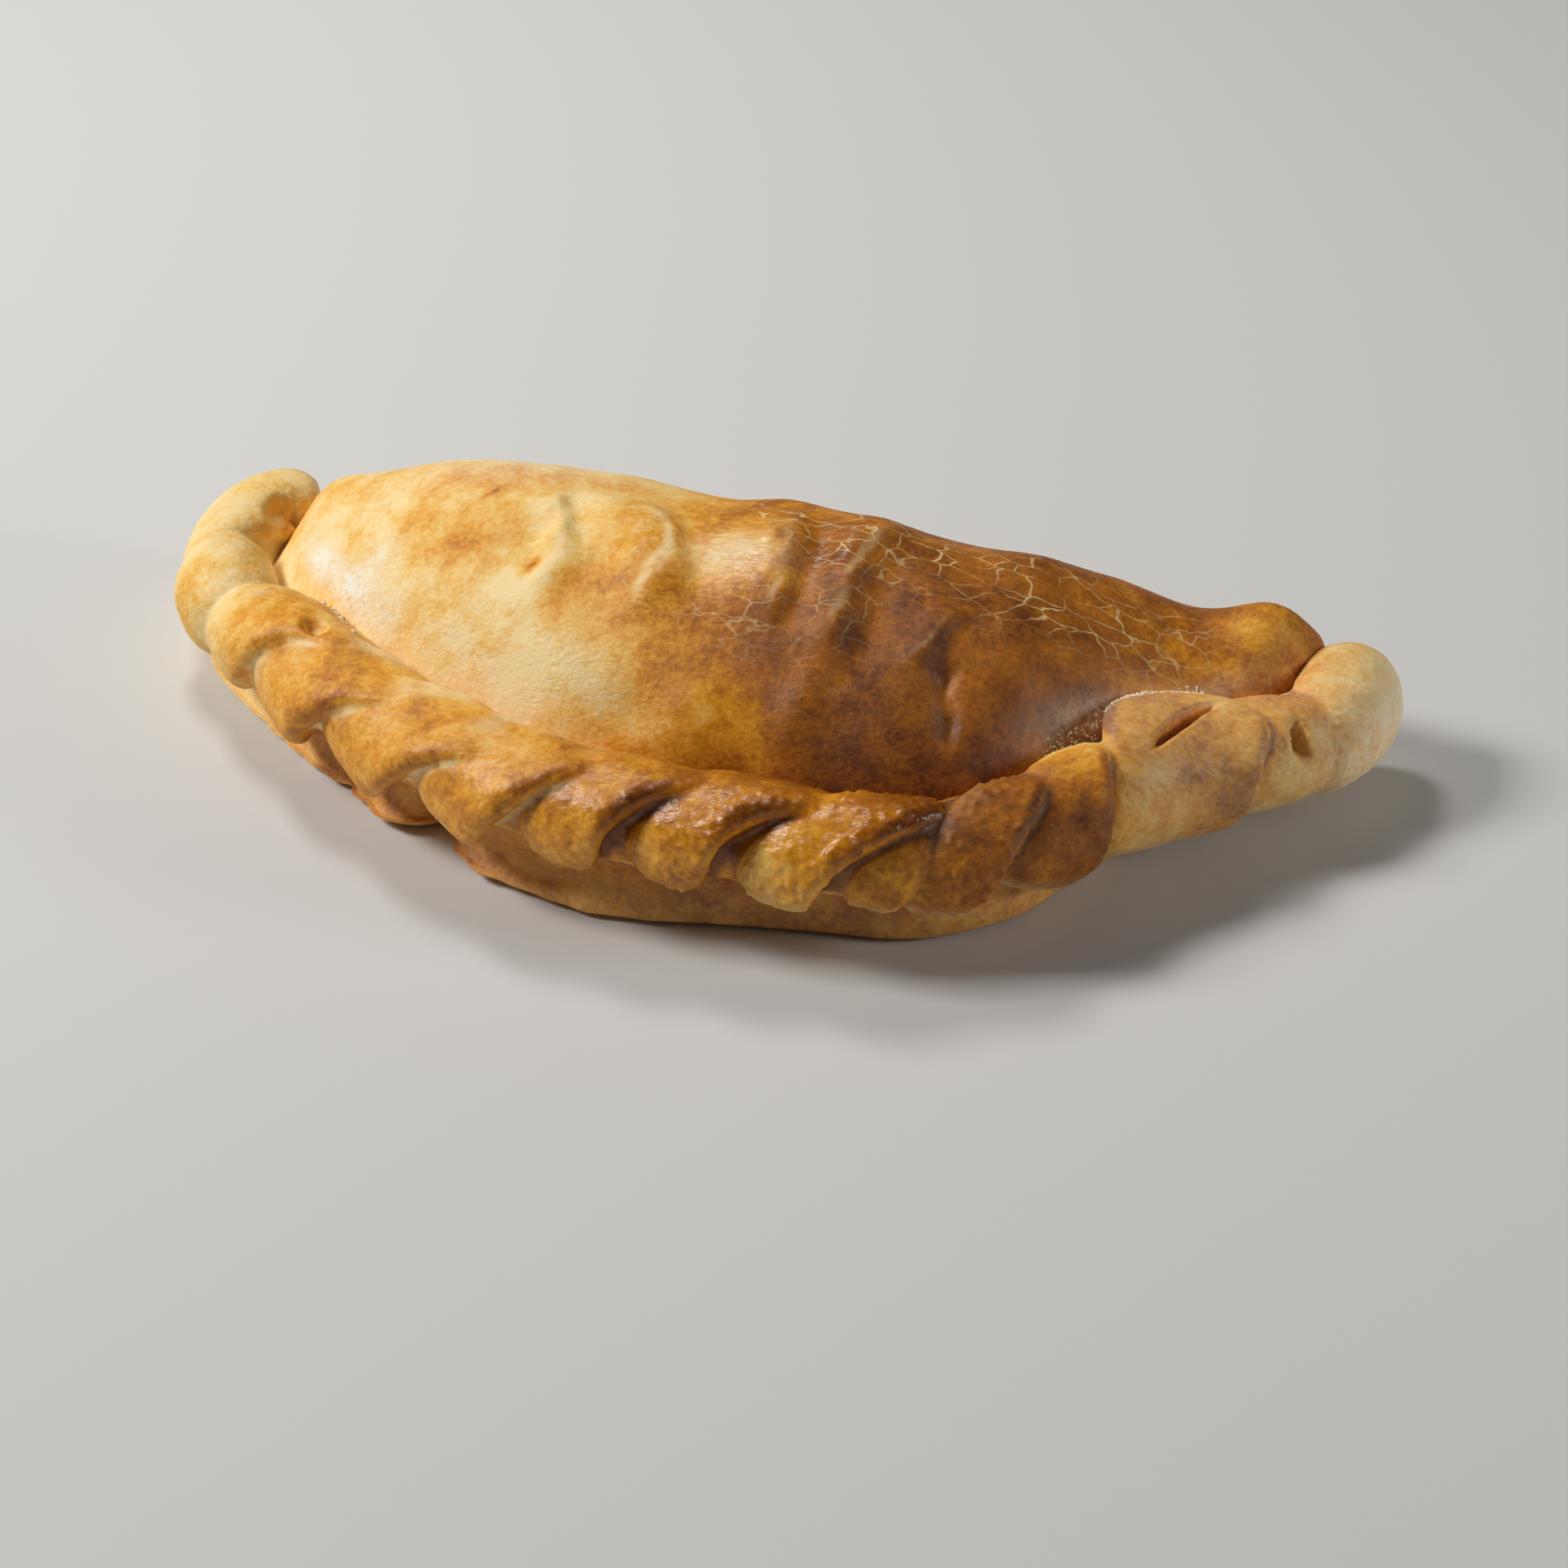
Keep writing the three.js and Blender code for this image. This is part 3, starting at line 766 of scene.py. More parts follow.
def pocket_plan(u, full, length):
    """Function that gives the pocket's points in plan, at its stations, for places across it."""
    middle, outward = edge_frame(length)
    lip = middle + outward * LIP_MEAN
    setback = LEFT_SETBACK * (1 - u) * (1 - full) + RIGHT_SETBACK * u * (1 - full) ** RIGHT_TURN
    back = np.stack([EDGE[0, 0] + (EDGE[-1, 0] - EDGE[0, 0]) * u, FOLD_LINE_Y - setback, 0 * u], -1)
    spare = lip_spare(length)

    def plan(across):
        lip_zone = np.clip(1 - (across + 1) / (VALLEY_AT + 1), 0, 1)[None, :, None]
        flat = lip[:, None] + (back - lip)[:, None] * ((across + 1) / 2)[None, :, None]
        return flat + outward[:, None] * spare[:, None, None] * lip_zone

    return plan


def curled(across):
    """Share of the lip's curl at places across the pocket."""
    return np.clip(1 - (across + 1) / CURL_BREADTH, 0, 1) ** 2


def pocket_skin(sizes):
    """Drawn points and faces of the domed pocket, with where each point is across it."""
    even = np.arange(1, POCKET_STATIONS) / POCKET_STATIONS
    u = (even + (1 - np.cos(np.pi * even)) / 2) / 2
    full = np.sqrt(np.sin(np.pi * u))
    length = u * EDGE_LENGTH[-1]
    heights = (sizes.lip_thickness, sizes.back_rounding, sizes.valley_height)
    rim, back, valley = [(height / MM * full)[:, None] for height in heights]
    plan = pocket_plan(u, full, length)
    curl = curve_through(LIP_CURL, length)[:, None]
    wall = smoothstep(length, *WALL_STANDS_UP)[:, None]

    across = -np.cos(np.pi * np.arange(POCKET_TOP) / POCKET_TOP)
    top = plan(across)
    x, y, w = top[..., 0], top[..., 1], across[None, :]
    tip = np.minimum(1, TIP_STEEPNESS * full)[:, None]
    crest = np.maximum(curve_through(DOME_CREST, x) * tip, valley)
    t = np.clip((w + 1) / (VALLEY_AT + 1), 0, 1)
    front = rim + (valley - rim) * ((1 - wall) * smoothstep(t, *TUCKED_WALL) + wall * np.sqrt(t))
    t = np.clip((CREST_AT - w) / (CREST_AT - VALLEY_AT), 0, 1)
    rise = valley + (crest - valley) * (1 - t * t) ** FRONT_FULLNESS
    t = np.clip((w - CREST_AT) / (1 - CREST_AT), 0, 1)
    fall = back + (crest - back) * np.clip(1 - t**BACK_DROP, 0, 1) ** BACK_FULLNESS
    height = np.where(w < VALLEY_AT, front, np.where(w < CREST_AT, rise, fall))
    fade = smoothstep(w, *RELIEF_STARTS) * smoothstep(-w, *RELIEF_ENDS)
    raised = patches(x, y, SWELLINGS) + ridges(x, y)[0]
    top[..., 2] = height + raised * fade + curl * curled(w)

    under = np.cos(np.pi * np.arange(POCKET_BASE) / POCKET_BASE)
    base = plan(under)
    turned_up = np.clip((np.abs(under) - BASE_TURNS_UP_AT) / (1 - BASE_TURNS_UP_AT), 0, 1) ** 2
    base[..., 2] = np.where(under < 0, BASE_RIM_SHARE * rim, back) * turned_up + curl * curled(under[None, :])
    points, faces = closed_rings(np.concatenate([top, base], 1), EDGE[[0, -1]] * [1, 1, 0])
    place = np.concatenate([np.tile(np.concatenate([across, under]), len(u)), [-1, -1]])
    return points, faces, place


def relief_tree():
    """Tree that gives a smooth crust its lumps, wrinkles, grain and blisters along its normals."""
    measures = [(f"{form} {measure}", "NodeSocketFloat")
                for form in ("Lump", "Wrinkle", "Grain", "Blister") for measure in ("size", "depth")]
    tree, given, made = new_tree("crust relief", [
        ("Geometry", "NodeSocketGeometry"), *measures, ("Crust", "NodeSocketMaterial")])
    place = add(tree, "GeometryNodeInputPosition")
    total = 0.0
    for form, stretch, detail, mask in RELIEF_FORMS:
        drawn = add(tree, "ShaderNodeVectorMath", {0: place, 1: stretch}, operation="MULTIPLY")
        scale = add(tree, "ShaderNodeMath", {0: 1.0, 1: given.outputs[f"{form} size"]}, operation="DIVIDE")
        noise = add(tree, "ShaderNodeTexNoise", {"Vector": drawn, "Scale": scale, "Detail": detail})
        deep = add(tree, "ShaderNodeMath", {0: noise.outputs[0], 1: 2.0, 2: -1.0}, operation="MULTIPLY_ADD")
        limits = [given.outputs[f"{form} depth"]]
        if mask:
            limits.append(add(tree, "GeometryNodeInputNamedAttribute", {"Name": mask}, data_type="FLOAT"))
        for limit in limits:
            deep = add(tree, "ShaderNodeMath", {0: deep, 1: limit}, operation="MULTIPLY")
        total = add(tree, "ShaderNodeMath", {0: total, 1: deep}, operation="ADD")
    scale = add(tree, "ShaderNodeMath", {0: 1.0, 1: given.outputs["Blister size"]}, operation="DIVIDE")
    cells = add(tree, "ShaderNodeTexVoronoi", {"Vector": place, "Scale": scale}, feature="SMOOTH_F1")
    raised = add(tree, "ShaderNodeMapRange", {
        "Value": cells.outputs["Distance"], "From Min": BLISTER_FOOT, "From Max": BLISTER_TOP,
    }, interpolation_type="SMOOTHSTEP")
    share = add(tree, "GeometryNodeInputNamedAttribute", {"Name": "blister"}, data_type="FLOAT")
    blister = add(tree, "ShaderNodeMath", {0: raised, 1: share}, operation="MULTIPLY")
    total = add(tree, "ShaderNodeMath", {0: blister, 1: given.outputs["Blister depth"], 2: total},
                operation="MULTIPLY_ADD")
    # The base stays flat on the table
    height = add(tree, "ShaderNodeSeparateXYZ", {0: place}).outputs["Z"]
    clear = add(tree, "ShaderNodeMapRange", {"Value": height, "From Min": FLAT_BELOW, "From Max": FULL_ABOVE})
    total = add(tree, "ShaderNodeMath", {0: total, 1: clear}, operation="MULTIPLY")
    normal = add(tree, "GeometryNodeInputNormal")
    offset = add(tree, "ShaderNodeVectorMath", {0: normal, "Scale": total}, operation="SCALE")
    moved = add(tree, "GeometryNodeSetPosition", {"Geometry": given.outputs["Geometry"], "Offset": offset})
    return end_tree(tree, given, made, moved)


def rope_point_group():
    """Group that finds a fold's middle at a share of its way from foot to tail, and the way out there."""
    group, given, made = new_tree("middle of a fold", [
        ("Edge", "NodeSocketGeometry"), ("Share", "NodeSocketFloat"), ("Reach", "NodeSocketFloat"),
    ], [("Point", "NodeSocketVector"), ("Radial", "NodeSocketVector")])
    share = given.outputs["Share"]
    bent = {}
    for name in ("length", "angle"):
        foot, bend, tail = [
            add(group, "GeometryNodeInputNamedAttribute", {"Name": f"{end}_{name}"}, data_type="FLOAT")
            for end in ("foot", "bend", "tail")]
        early = add(group, "ShaderNodeMix", {0: share, 2: foot, 3: bend}, clamp_factor=False)
        late = add(group, "ShaderNodeMix", {0: share, 2: bend, 3: tail}, clamp_factor=False)
        bent[name] = add(group, "ShaderNodeMix", {0: share, 2: early, 3: late}, clamp_factor=False)
    at = add(group, "GeometryNodeSampleCurve", {"Curves": given.outputs["Edge"], "Length": bent["length"]},
             mode="LENGTH")
    along = add(group, "ShaderNodeSeparateXYZ", {0: at.outputs["Tangent"]})
    back = add(group, "ShaderNodeMath", {0: along.outputs["X"], 1: -1.0}, operation="MULTIPLY")
    level = add(group, "ShaderNodeCombineXYZ", {"X": along.outputs["Y"], "Y": back})
    outward = add(group, "ShaderNodeVectorMath", {0: level}, operation="NORMALIZE")
    cosine = add(group, "ShaderNodeMath", {0: bent["angle"]}, operation="COSINE")
    sine = add(group, "ShaderNodeMath", {0: bent["angle"]}, operation="SINE")
    upward = add(group, "ShaderNodeCombineXYZ", {"Z": sine})
    radial = add(group, "ShaderNodeVectorMath", {0: outward, 1: cosine, 2: upward}, operation="MULTIPLY_ADD")
    point = add(group, "ShaderNodeVectorMath", {
        0: radial, 1: given.outputs["Reach"], 2: at.outputs["Position"]}, operation="MULTIPLY_ADD")
    group.links.new(point.outputs[0], made.inputs["Point"])
    group.links.new(radial.outputs[0], made.inputs["Radial"])
    return group


# Fineness of the folds and their core, and how the core narrows over a share of its length at either end
FOLD_STEP = 0.01
FOLD_SEGMENTS = 52
FOLD_RINGS = 64
CORE_SIDES = 40
CORE_TAPER = 0.06
CORE_TIP = 0.1
POLE_RADIUS = 1e-4


def fold_tree():
    """Tree that draws a round of dough out into each thumb fold, over a core along the edge."""
    tree, given, made = new_tree("thumb folds", [
        ("Geometry", "NodeSocketGeometry"), ("Edge", "NodeSocketObject"), ("Rope radius", "NodeSocketFloat"),
        ("Core share", "NodeSocketFloat"), ("Fold middle", "NodeSocketFloat"),
        ("Fold thickness", "NodeSocketFloat"), ("Crust", "NodeSocketMaterial"),
    ])
    radius = given.outputs["Rope radius"]
    edge = add(tree, "GeometryNodeObjectInfo", {"Object": given.outputs["Edge"]}).outputs["Geometry"]
    ball = add(tree, "GeometryNodeMeshUVSphere", {
        "Segments": FOLD_SEGMENTS, "Rings": FOLD_RINGS, "Radius": 1.0})
    set_out = add(tree, "GeometryNodeInstanceOnPoints", {
        "Points": given.outputs["Geometry"], "Instance": ball.outputs["Mesh"]})
    balls = add(tree, "GeometryNodeRealizeInstances", {0: set_out})
    row = {name: add(tree, "GeometryNodeInputNamedAttribute", {"Name": name}, data_type="FLOAT").outputs[0]
           for name in ("width", "lift", "tilt", "taper")}

    # Where a point is on its ball: the way from foot to tail, and the side of the fold
    place = add(tree, "ShaderNodeSeparateXYZ", {0: add(tree, "GeometryNodeInputPosition")})
    level = add(tree, "ShaderNodeCombineXYZ", {"X": place.outputs["X"], "Y": place.outputs["Y"]})
    round_off = add(tree, "ShaderNodeVectorMath", {0: level}, operation="LENGTH").outputs["Value"]
    safe = add(tree, "ShaderNodeMath", {0: round_off, 1: POLE_RADIUS}, operation="MAXIMUM")
    blunt = add(tree, "ShaderNodeMath", {0: safe}, operation="INVERSE_SQRT")
    side = add(tree, "ShaderNodeMath", {0: place.outputs["X"], 1: safe}, operation="DIVIDE")
    side = add(tree, "ShaderNodeMath", {0: side, 1: -1.0}, operation="MULTIPLY")
    share = add(tree, "ShaderNodeMath", {0: place.outputs["Z"], 1: 0.5, 2: 0.5}, operation="MULTIPLY_ADD")

    # The fold's middle there, and just before and after, which give its direction
    reach = radius
    for factor in (given.outputs["Fold middle"], row["lift"]):
        reach = add(tree, "ShaderNodeMath", {0: reach, 1: factor}, operation="MULTIPLY")
    group = rope_point_group()
    found = []
    for step in (0.0, FOLD_STEP, -FOLD_STEP):
        found.append(add(tree, "GeometryNodeGroup", node_tree=group))
        t = add(tree, "ShaderNodeMath", {0: share, 1: step}, operation="ADD")
        for name, value in (("Edge", edge), ("Share", t.outputs[0]), ("Reach", reach.outputs[0])):
            tree.links.new(value, found[-1].inputs[name])
    ahead = add(tree, "ShaderNodeVectorMath", {0: found[1], 1: found[2]}, operation="SUBTRACT")
    along = add(tree, "ShaderNodeVectorMath", {0: ahead}, operation="NORMALIZE")
    radial = found[0].outputs["Radial"]
    leading = add(tree, "ShaderNodeVectorMath", {0: along, 1: radial}, operation="CROSS_PRODUCT")
    leading = add(tree, "ShaderNodeVectorMath", {0: leading}, operation="NORMALIZE")
    proud = add(tree, "ShaderNodeVectorMath", {0: leading, 1: along}, operation="CROSS_PRODUCT")

    # Section of the fold: wider at its foot where it tapers, and thinner along its crest where it is tilted
    tilt_degrees = add(tree, "ShaderNodeMath", {0: row["tilt"]}, operation="DEGREES")
    foot_share = add(tree, "ShaderNodeMath", {0: share, 1: -2.0, 2: 1.0}, operation="MULTIPLY_ADD")
    taper = add(tree, "ShaderNodeMath", {0: row["taper"], 1: foot_share, 2: 1.0}, operation="MULTIPLY_ADD")
    thin = add(tree, "ShaderNodeMath", {0: tilt_degrees, 1: -1 / THIN_LIP_TILT}, operation="MULTIPLY")
    forward = add(tree, "ShaderNodeMath", {0: side, 1: 0.5, 2: 0.5}, operation="MULTIPLY_ADD")
    thin = add(tree, "ShaderNodeMath", {0: thin, 1: forward, 2: 1.0}, operation="MULTIPLY_ADD")
    half, thick, spread, depth = row["width"], radius, place.outputs["X"], place.outputs["Y"]
    for factor in (0.5, taper):
        half = add(tree, "ShaderNodeMath", {0: half, 1: factor}, operation="MULTIPLY")
    for factor in (given.outputs["Fold thickness"], row["lift"], thin, taper):
        thick = add(tree, "ShaderNodeMath", {0: thick, 1: factor}, operation="MULTIPLY")
    for factor in (blunt, -1.0, half):
        spread = add(tree, "ShaderNodeMath", {0: spread, 1: factor}, operation="MULTIPLY")
    for factor in (blunt, thick):
        depth = add(tree, "ShaderNodeMath", {0: depth, 1: factor}, operation="MULTIPLY")
    section = add(tree, "ShaderNodeCombineXYZ", {"X": spread, "Y": depth})
    turn = add(tree, "ShaderNodeVectorRotate", {"Vector": section, "Angle": row["tilt"]},
               rotation_type="Z_AXIS")
    turned = add(tree, "ShaderNodeSeparateXYZ", {0: turn})
    point = found[0]
    for way, axis in ((leading, "X"), (proud, "Y")):
        point = add(tree, "ShaderNodeVectorMath", {0: way, 1: turned.outputs[axis], 2: point},
                    operation="MULTIPLY_ADD")
    above_table = add(tree, "ShaderNodeVectorMath", {0: point, 1: (-1.0, -1.0, 0.0)}, operation="MAXIMUM")

    # A point keeps where it was on its fold, for the baking
    kept = balls
    for name, value in (("fold_share", share), ("fold_side", side)):
        kept = add(tree, "GeometryNodeStoreNamedAttribute", {"Geometry": kept, "Name": name, "Value": value})
    drawn = add(tree, "GeometryNodeSetPosition", {"Geometry": kept, "Position": above_table})

    # Core of the rope, narrowed at both ends
    core_radius = add(tree, "ShaderNodeMath", {0: radius, 1: given.outputs["Core share"]},
                      operation="MULTIPLY")
    ring = add(tree, "GeometryNodeCurvePrimitiveCircle", {"Resolution": CORE_SIDES, "Radius": core_radius})
    run = add(tree, "GeometryNodeSplineParameter").outputs["Factor"]
    rest = add(tree, "ShaderNodeMath", {0: 1.0, 1: run}, operation="SUBTRACT")
    from_end = add(tree, "ShaderNodeMath", {0: run, 1: rest}, operation="MINIMUM")
    narrowed = add(tree, "ShaderNodeMapRange", {
        "Value": from_end, "From Max": CORE_TAPER, "To Min": CORE_TIP}, interpolation_type="SMOOTHSTEP")
    core = add(tree, "GeometryNodeCurveToMesh", {
        "Curve": edge, "Profile Curve": ring, "Scale": narrowed, "Fill Caps": True})
    joined = add(tree, "GeometryNodeJoinGeometry", {0: drawn})
    tree.links.new(core.outputs[0], joined.inputs[0])
    return end_tree(tree, given, made, joined)


def baked_colour(tree, place, bake, fibre, colours):
    """Colour of the bake, mottled by broad clouds, blotches of a few millimetres, fine grain and fibres."""
    value = bake
    for size_mm, amount, low, high in MOTTLING:
        noise = add(tree, "ShaderNodeTexNoise", {"Vector": place, "Scale": 1 / (size_mm * MM), "Detail": 3.0})
        cloud = add(tree, "ShaderNodeMapRange", {
            "Value": noise.outputs["Fac"], "From Min": low, "From Max": high, "To Min": -0.5, "To Max": 0.5,
        }, interpolation_type="SMOOTHSTEP")
        value = add(tree, "ShaderNodeMath", {0: cloud, 1: amount, 2: value}, operation="MULTIPLY_ADD")
    centred = add(tree, "ShaderNodeMath", {0: fibre, 1: 0.5}, operation="SUBTRACT")
    value = add(tree, "ShaderNodeMath", {0: centred, 1: FIBRE_MOTTLING, 2: value}, operation="MULTIPLY_ADD")
    baked = add(tree, "ShaderNodeValToRGB", {"Fac": value})
    stops = baked.color_ramp.elements
    for at in BAKE_STOPS[1:-1]:
        stops.new(at)
    shades = (colours.cream, colours.straw, colours.gold, colours.amber, colours.brown)
    for stop, at, shade in zip(stops, BAKE_STOPS, shades):
        stop.position = at
        stop.color = shade
    return baked


def pale_lines(tree, place, seam, crackle):
    """Share of pale dough: seams and crests broken over a few millimetres, the crests partly a painted
    highlight, and crackle of the egg film.
    """
    broken = add(tree, "ShaderNodeTexNoise", {"Vector": place, "Scale": 1 / (6 * MM), "Detail": 3.0})
    whole = add(tree, "ShaderNodeMapRange", {
        "Value": broken.outputs["Fac"], "From Min": 0.36, "From Max": 0.58})
    seams = add(tree, "ShaderNodeMath", {0: seam, 1: whole}, operation="MULTIPLY", use_clamp=True)
    # Crackle: pale lines a fifth of a millimetre wide, round long cells of a few millimetres
    sway = add(tree, "ShaderNodeTexNoise", {"Vector": place, "Scale": 1 / (4 * MM), "Detail": 2.0})
    bent = add(tree, "ShaderNodeVectorMath", {0: sway.outputs["Color"], 1: (2.4 * MM,) * 3, 2: place},
               operation="MULTIPLY_ADD")
    long = add(tree, "ShaderNodeMapping", {"Vector": bent, "Scale": (0.42, 1, 0.8)})
    cells = add(tree, "ShaderNodeTexVoronoi", {"Vector": long, "Scale": 1 / (2.7 * MM)},
                feature="DISTANCE_TO_EDGE")
    lines = add(tree, "ShaderNodeMapRange", {
        "Value": cells.outputs["Distance"], "From Min": 0.034, "From Max": 0.006, "To Max": 0.8})
    net = crackle
    for factor in (lines, whole):
        net = add(tree, "ShaderNodeMath", {0: net, 1: factor}, operation="MULTIPLY")
    return add(tree, "ShaderNodeMath", {0: net, 1: seams}, operation="MAXIMUM", use_clamp=True)


def skin_bump(tree, place, shine, wrinkle, fibre, dust):
    """Fine bumps of the skin: fibres and dust where the egg is thin, and wrinkles a millimetre apart."""
    bare = add(tree, "ShaderNodeMapRange", {"Value": shine, "To Min": 0.9, "To Max": 0.35})
    grain = add(tree, "ShaderNodeMath", {0: fibre, 1: dust}, operation="ADD")
    relief = add(tree, "ShaderNodeMath", {0: grain, 1: bare}, operation="MULTIPLY")
    drawn_out = add(tree, "ShaderNodeMapping", {
        "Vector": place, "Rotation": (0.0, 0.0, -0.25), "Scale": (0.22, 1, 0.6)})
    creases = add(tree, "ShaderNodeTexNoise", {
        "Vector": drawn_out, "Scale": 1 / (0.9 * MM), "Detail": 2.0, "Distortion": 0.4})
    creases = add(tree, "ShaderNodeMath", {0: creases.outputs["Fac"], 1: wrinkle}, operation="MULTIPLY")
    relief = add(tree, "ShaderNodeMath", {0: creases, 1: 3.0, 2: relief}, operation="MULTIPLY_ADD")
    return add(tree, "ShaderNodeBump", {"Height": relief, "Strength": 0.7, "Distance": 0.18 * MM})


def shortcrust(colours):
    """Egg-washed shortcrust: baked wheat dough under a brushed film of egg.

    The eye gets a mottled cream-to-brown skin, fine fibres, pale seams where the dough rose after the wash
    was brushed on, a soft shine where the egg is thick, and dusty matte flour where there is none. Parts of
    the browning, the flour and the pale lines are painted shade and painted highlights, set on the pieces.
    """
    material = bpy.data.materials.new("egg_washed_shortcrust")
    material.use_nodes = True
    tree = material.node_tree
    tree.nodes.clear()
    place = add(tree, "ShaderNodeTexCoord").outputs["Object"]
    reads = {name: add(tree, "ShaderNodeAttribute", attribute_name=name).outputs["Fac"]
             for name in ("bake", "shine", "crackle", "flour", "seam", "wrinkle")}

    # Fibres of the rolled dough, about half a millimetre apart and twice as long
    drawn_out = add(tree, "ShaderNodeMapping", {
        "Vector": place, "Rotation": (0.0, 0.0, 0.35), "Scale": (0.45, 1, 0.8)})
    fibre = add(tree, "ShaderNodeTexNoise", {
        "Vector": drawn_out, "Scale": 1 / (0.5 * MM), "Detail": 2.0, "Distortion": 0.6}).outputs["Fac"]
    baked = baked_colour(tree, place, reads["bake"], fibre, colours)
    pale = pale_lines(tree, place, reads["seam"], reads["crackle"])
    seamed = add(tree, "ShaderNodeMix", {0: pale, 6: baked, 7: colours.cream}, data_type="RGBA")

    # Flour: a pale dust, uneven over about a millimetre
    dust = add(tree, "ShaderNodeTexNoise", {
        "Vector": place, "Scale": 1 / (0.9 * MM), "Detail": 3.0}).outputs["Fac"]
    uneven = add(tree, "ShaderNodeMapRange", {
        "Value": dust, "From Min": 0.34, "From Max": 0.66, "To Min": 0.45, "To Max": 1.25})
    dusty = add(tree, "ShaderNodeMath", {0: reads["flour"], 1: uneven}, operation="MULTIPLY", use_clamp=True)
    surface = add(tree, "ShaderNodeMix", {0: dusty, 6: seamed.outputs[2], 7: colours.flour}, data_type="RGBA")

    # Egg wash is smooth, and fibres and flour are rough
    rough = add(tree, "ShaderNodeMapRange", {"Value": reads["shine"], "To Min": 0.6, "To Max": 0.12})
    rough = add(tree, "ShaderNodeMath", {0: fibre, 1: 0.12, 2: rough}, operation="MULTIPLY_ADD")
    rough = add(tree, "ShaderNodeMath", {0: dusty, 1: 0.35, 2: rough}, operation="MULTIPLY_ADD",
                use_clamp=True)
    shader = add(tree, "ShaderNodeBsdfPrincipled", {
        "Base Color": surface.outputs[2], "Roughness": rough, "IOR": 1.46, "Specular IOR Level": 0.5,
        "Normal": skin_bump(tree, place, reads["shine"], reads["wrinkle"], fibre, dust),
        "Subsurface Weight": 0.1, "Subsurface Radius": (1.0, 0.5, 0.2), "Subsurface Scale": 0.6 * MM,
    })
    add(tree, "ShaderNodeOutputMaterial", {"Surface": shader})
    return material


def crust_material():
    """The crust's material, made once."""
    return bpy.data.materials.get("egg_washed_shortcrust") or shortcrust(bpy.context.scene.empanada_colours)


def relieve(name, mesh, lump_size):
    """Runs the relief tree on a smooth mesh of the crust."""
    sizes = bpy.context.scene.empanada_sizes
    tree = bpy.data.node_groups.get("crust relief") or relief_tree()
    return evaluate(hold(name, mesh), tree, {
        "Lump size": lump_size, "Lump depth": sizes.lump_depth,
        "Wrinkle size": WRINKLE_SIZE, "Wrinkle depth": sizes.wrinkle_depth,
        "Grain size": GRAIN_SIZE, "Grain depth": sizes.grain_depth,
        "Blister size": BLISTER_SIZE, "Blister depth": sizes.blister_depth,
        "Crust": crust_material(),
    }, name)


class BuildPocket(bpy.types.Operator):
    """Builds the domed pocket of dough with its flat base and the lip under the rope"""

    bl_idname = "empanada.pocket"
    bl_label = "Domed pocket"

    def execute(self, context):
        points, faces, across = pocket_skin(context.scene.empanada_sizes)
        mesh = bpy.data.meshes.new("pocket")
        mesh.from_pydata(to_metres(points).tolist(), [], faces)
        x, y = points[:, 0], points[:, 1]
        dome = smoothstep(across, *DOME_STARTS)
        bake = DOME_BAKE + ramp(x, *BROWNER_RIGHT) + patches(x, y, DOME_BAKING_AND_PAINTED_LIGHT)
        # Painted shade in the valley on the right, where the rope shades the dome
        bake += ramp(x, *VALLEY_PAINTED_SHADE) * smoothstep(-across, *VALLEY_SHADE_SLOPE)
        shine = DOME_GLOSS + ramp(x, *GLOSSIER_RIGHT) + patches(x, y, DOME_SHINE)
        flour, wrinkle, crackle = [
            np.clip(patches(x, y, rows), 0, 1) for rows in (DOME_FLOUR_AND_HIGHLIGHT, DOME_WRINKLES, DOME_CRACKLE)]
        # Pale crest lines, partly dry egg film and partly a painted highlight
        pale = CREST_PALE_AND_HIGHLIGHT - ramp(x, *CREST_FADES)
        write_baking(
            mesh,
            # The wall under the rope is darker, partly as painted shade
            bake=blend(WALL_BAKE_AND_SHADE - ramp(-x, *PALER_LEFT_WALL), bake, dome),
            shine=blend(WALL_GLOSS, np.clip(shine, 0, 1), dome),
            flour=blend(WALL_FLOUR, flour, dome),
            wrinkle=wrinkle * dome,
            crackle=crackle * dome,
            seam=pale * smoothstep(ridges(x, y)[1], *CREST_LINE) * dome,
            blister=np.zeros(len(x)),
        )
        finish_piece("pocket", relieve("pocket", mesh, POCKET_LUMPS))
        return {"FINISHED"}


ROPE_VOXEL = 0.42 * MM
SOFTEN_FACTOR = 0.5
SOFTEN_ROUNDS = 6

# Rounds of averaging for the baking, and for the skin that deep creases and fine seams are measured from
BAKING_ROUNDS = 16
CREASE_ROUNDS = 80
SEAM_ROUNDS = 28


def edge_curve():
    """The rope's middle as a curve in the part's frame."""
    curve = bpy.data.curves.new("edge", "CURVE")
    curve.dimensions = "3D"
    spline = curve.splines.new("POLY")
    points = to_metres(EDGE)
    spline.points.add(len(points) - 1)
    spline.points.foreach_set("co", np.column_stack([points, np.ones(len(points))]).ravel())
    return hold("edge", curve)


def fold_table():
    """One point for each fold, with the fold's numbers."""
    mesh = bpy.data.meshes.new("fold_table")
    mesh.from_pydata([(0, 0, 0)] * len(FOLDS), [], [])
    rows = np.array(FOLDS, float)
    for k, end in enumerate(("foot", "bend", "tail")):
        write_values(mesh, f"{end}_length", rows[:, 2 * k] * MM)
        write_values(mesh, f"{end}_angle", np.radians(rows[:, 2 * k + 1]))
    for name, values in (("width", rows[:, 6] * MM), ("lift", rows[:, 7]), ("tilt", np.radians(rows[:, 8])),
                         ("taper", rows[:, 9]), ("fold", np.arange(1, len(rows) + 1))):
        write_values(mesh, name, values)
    return mesh


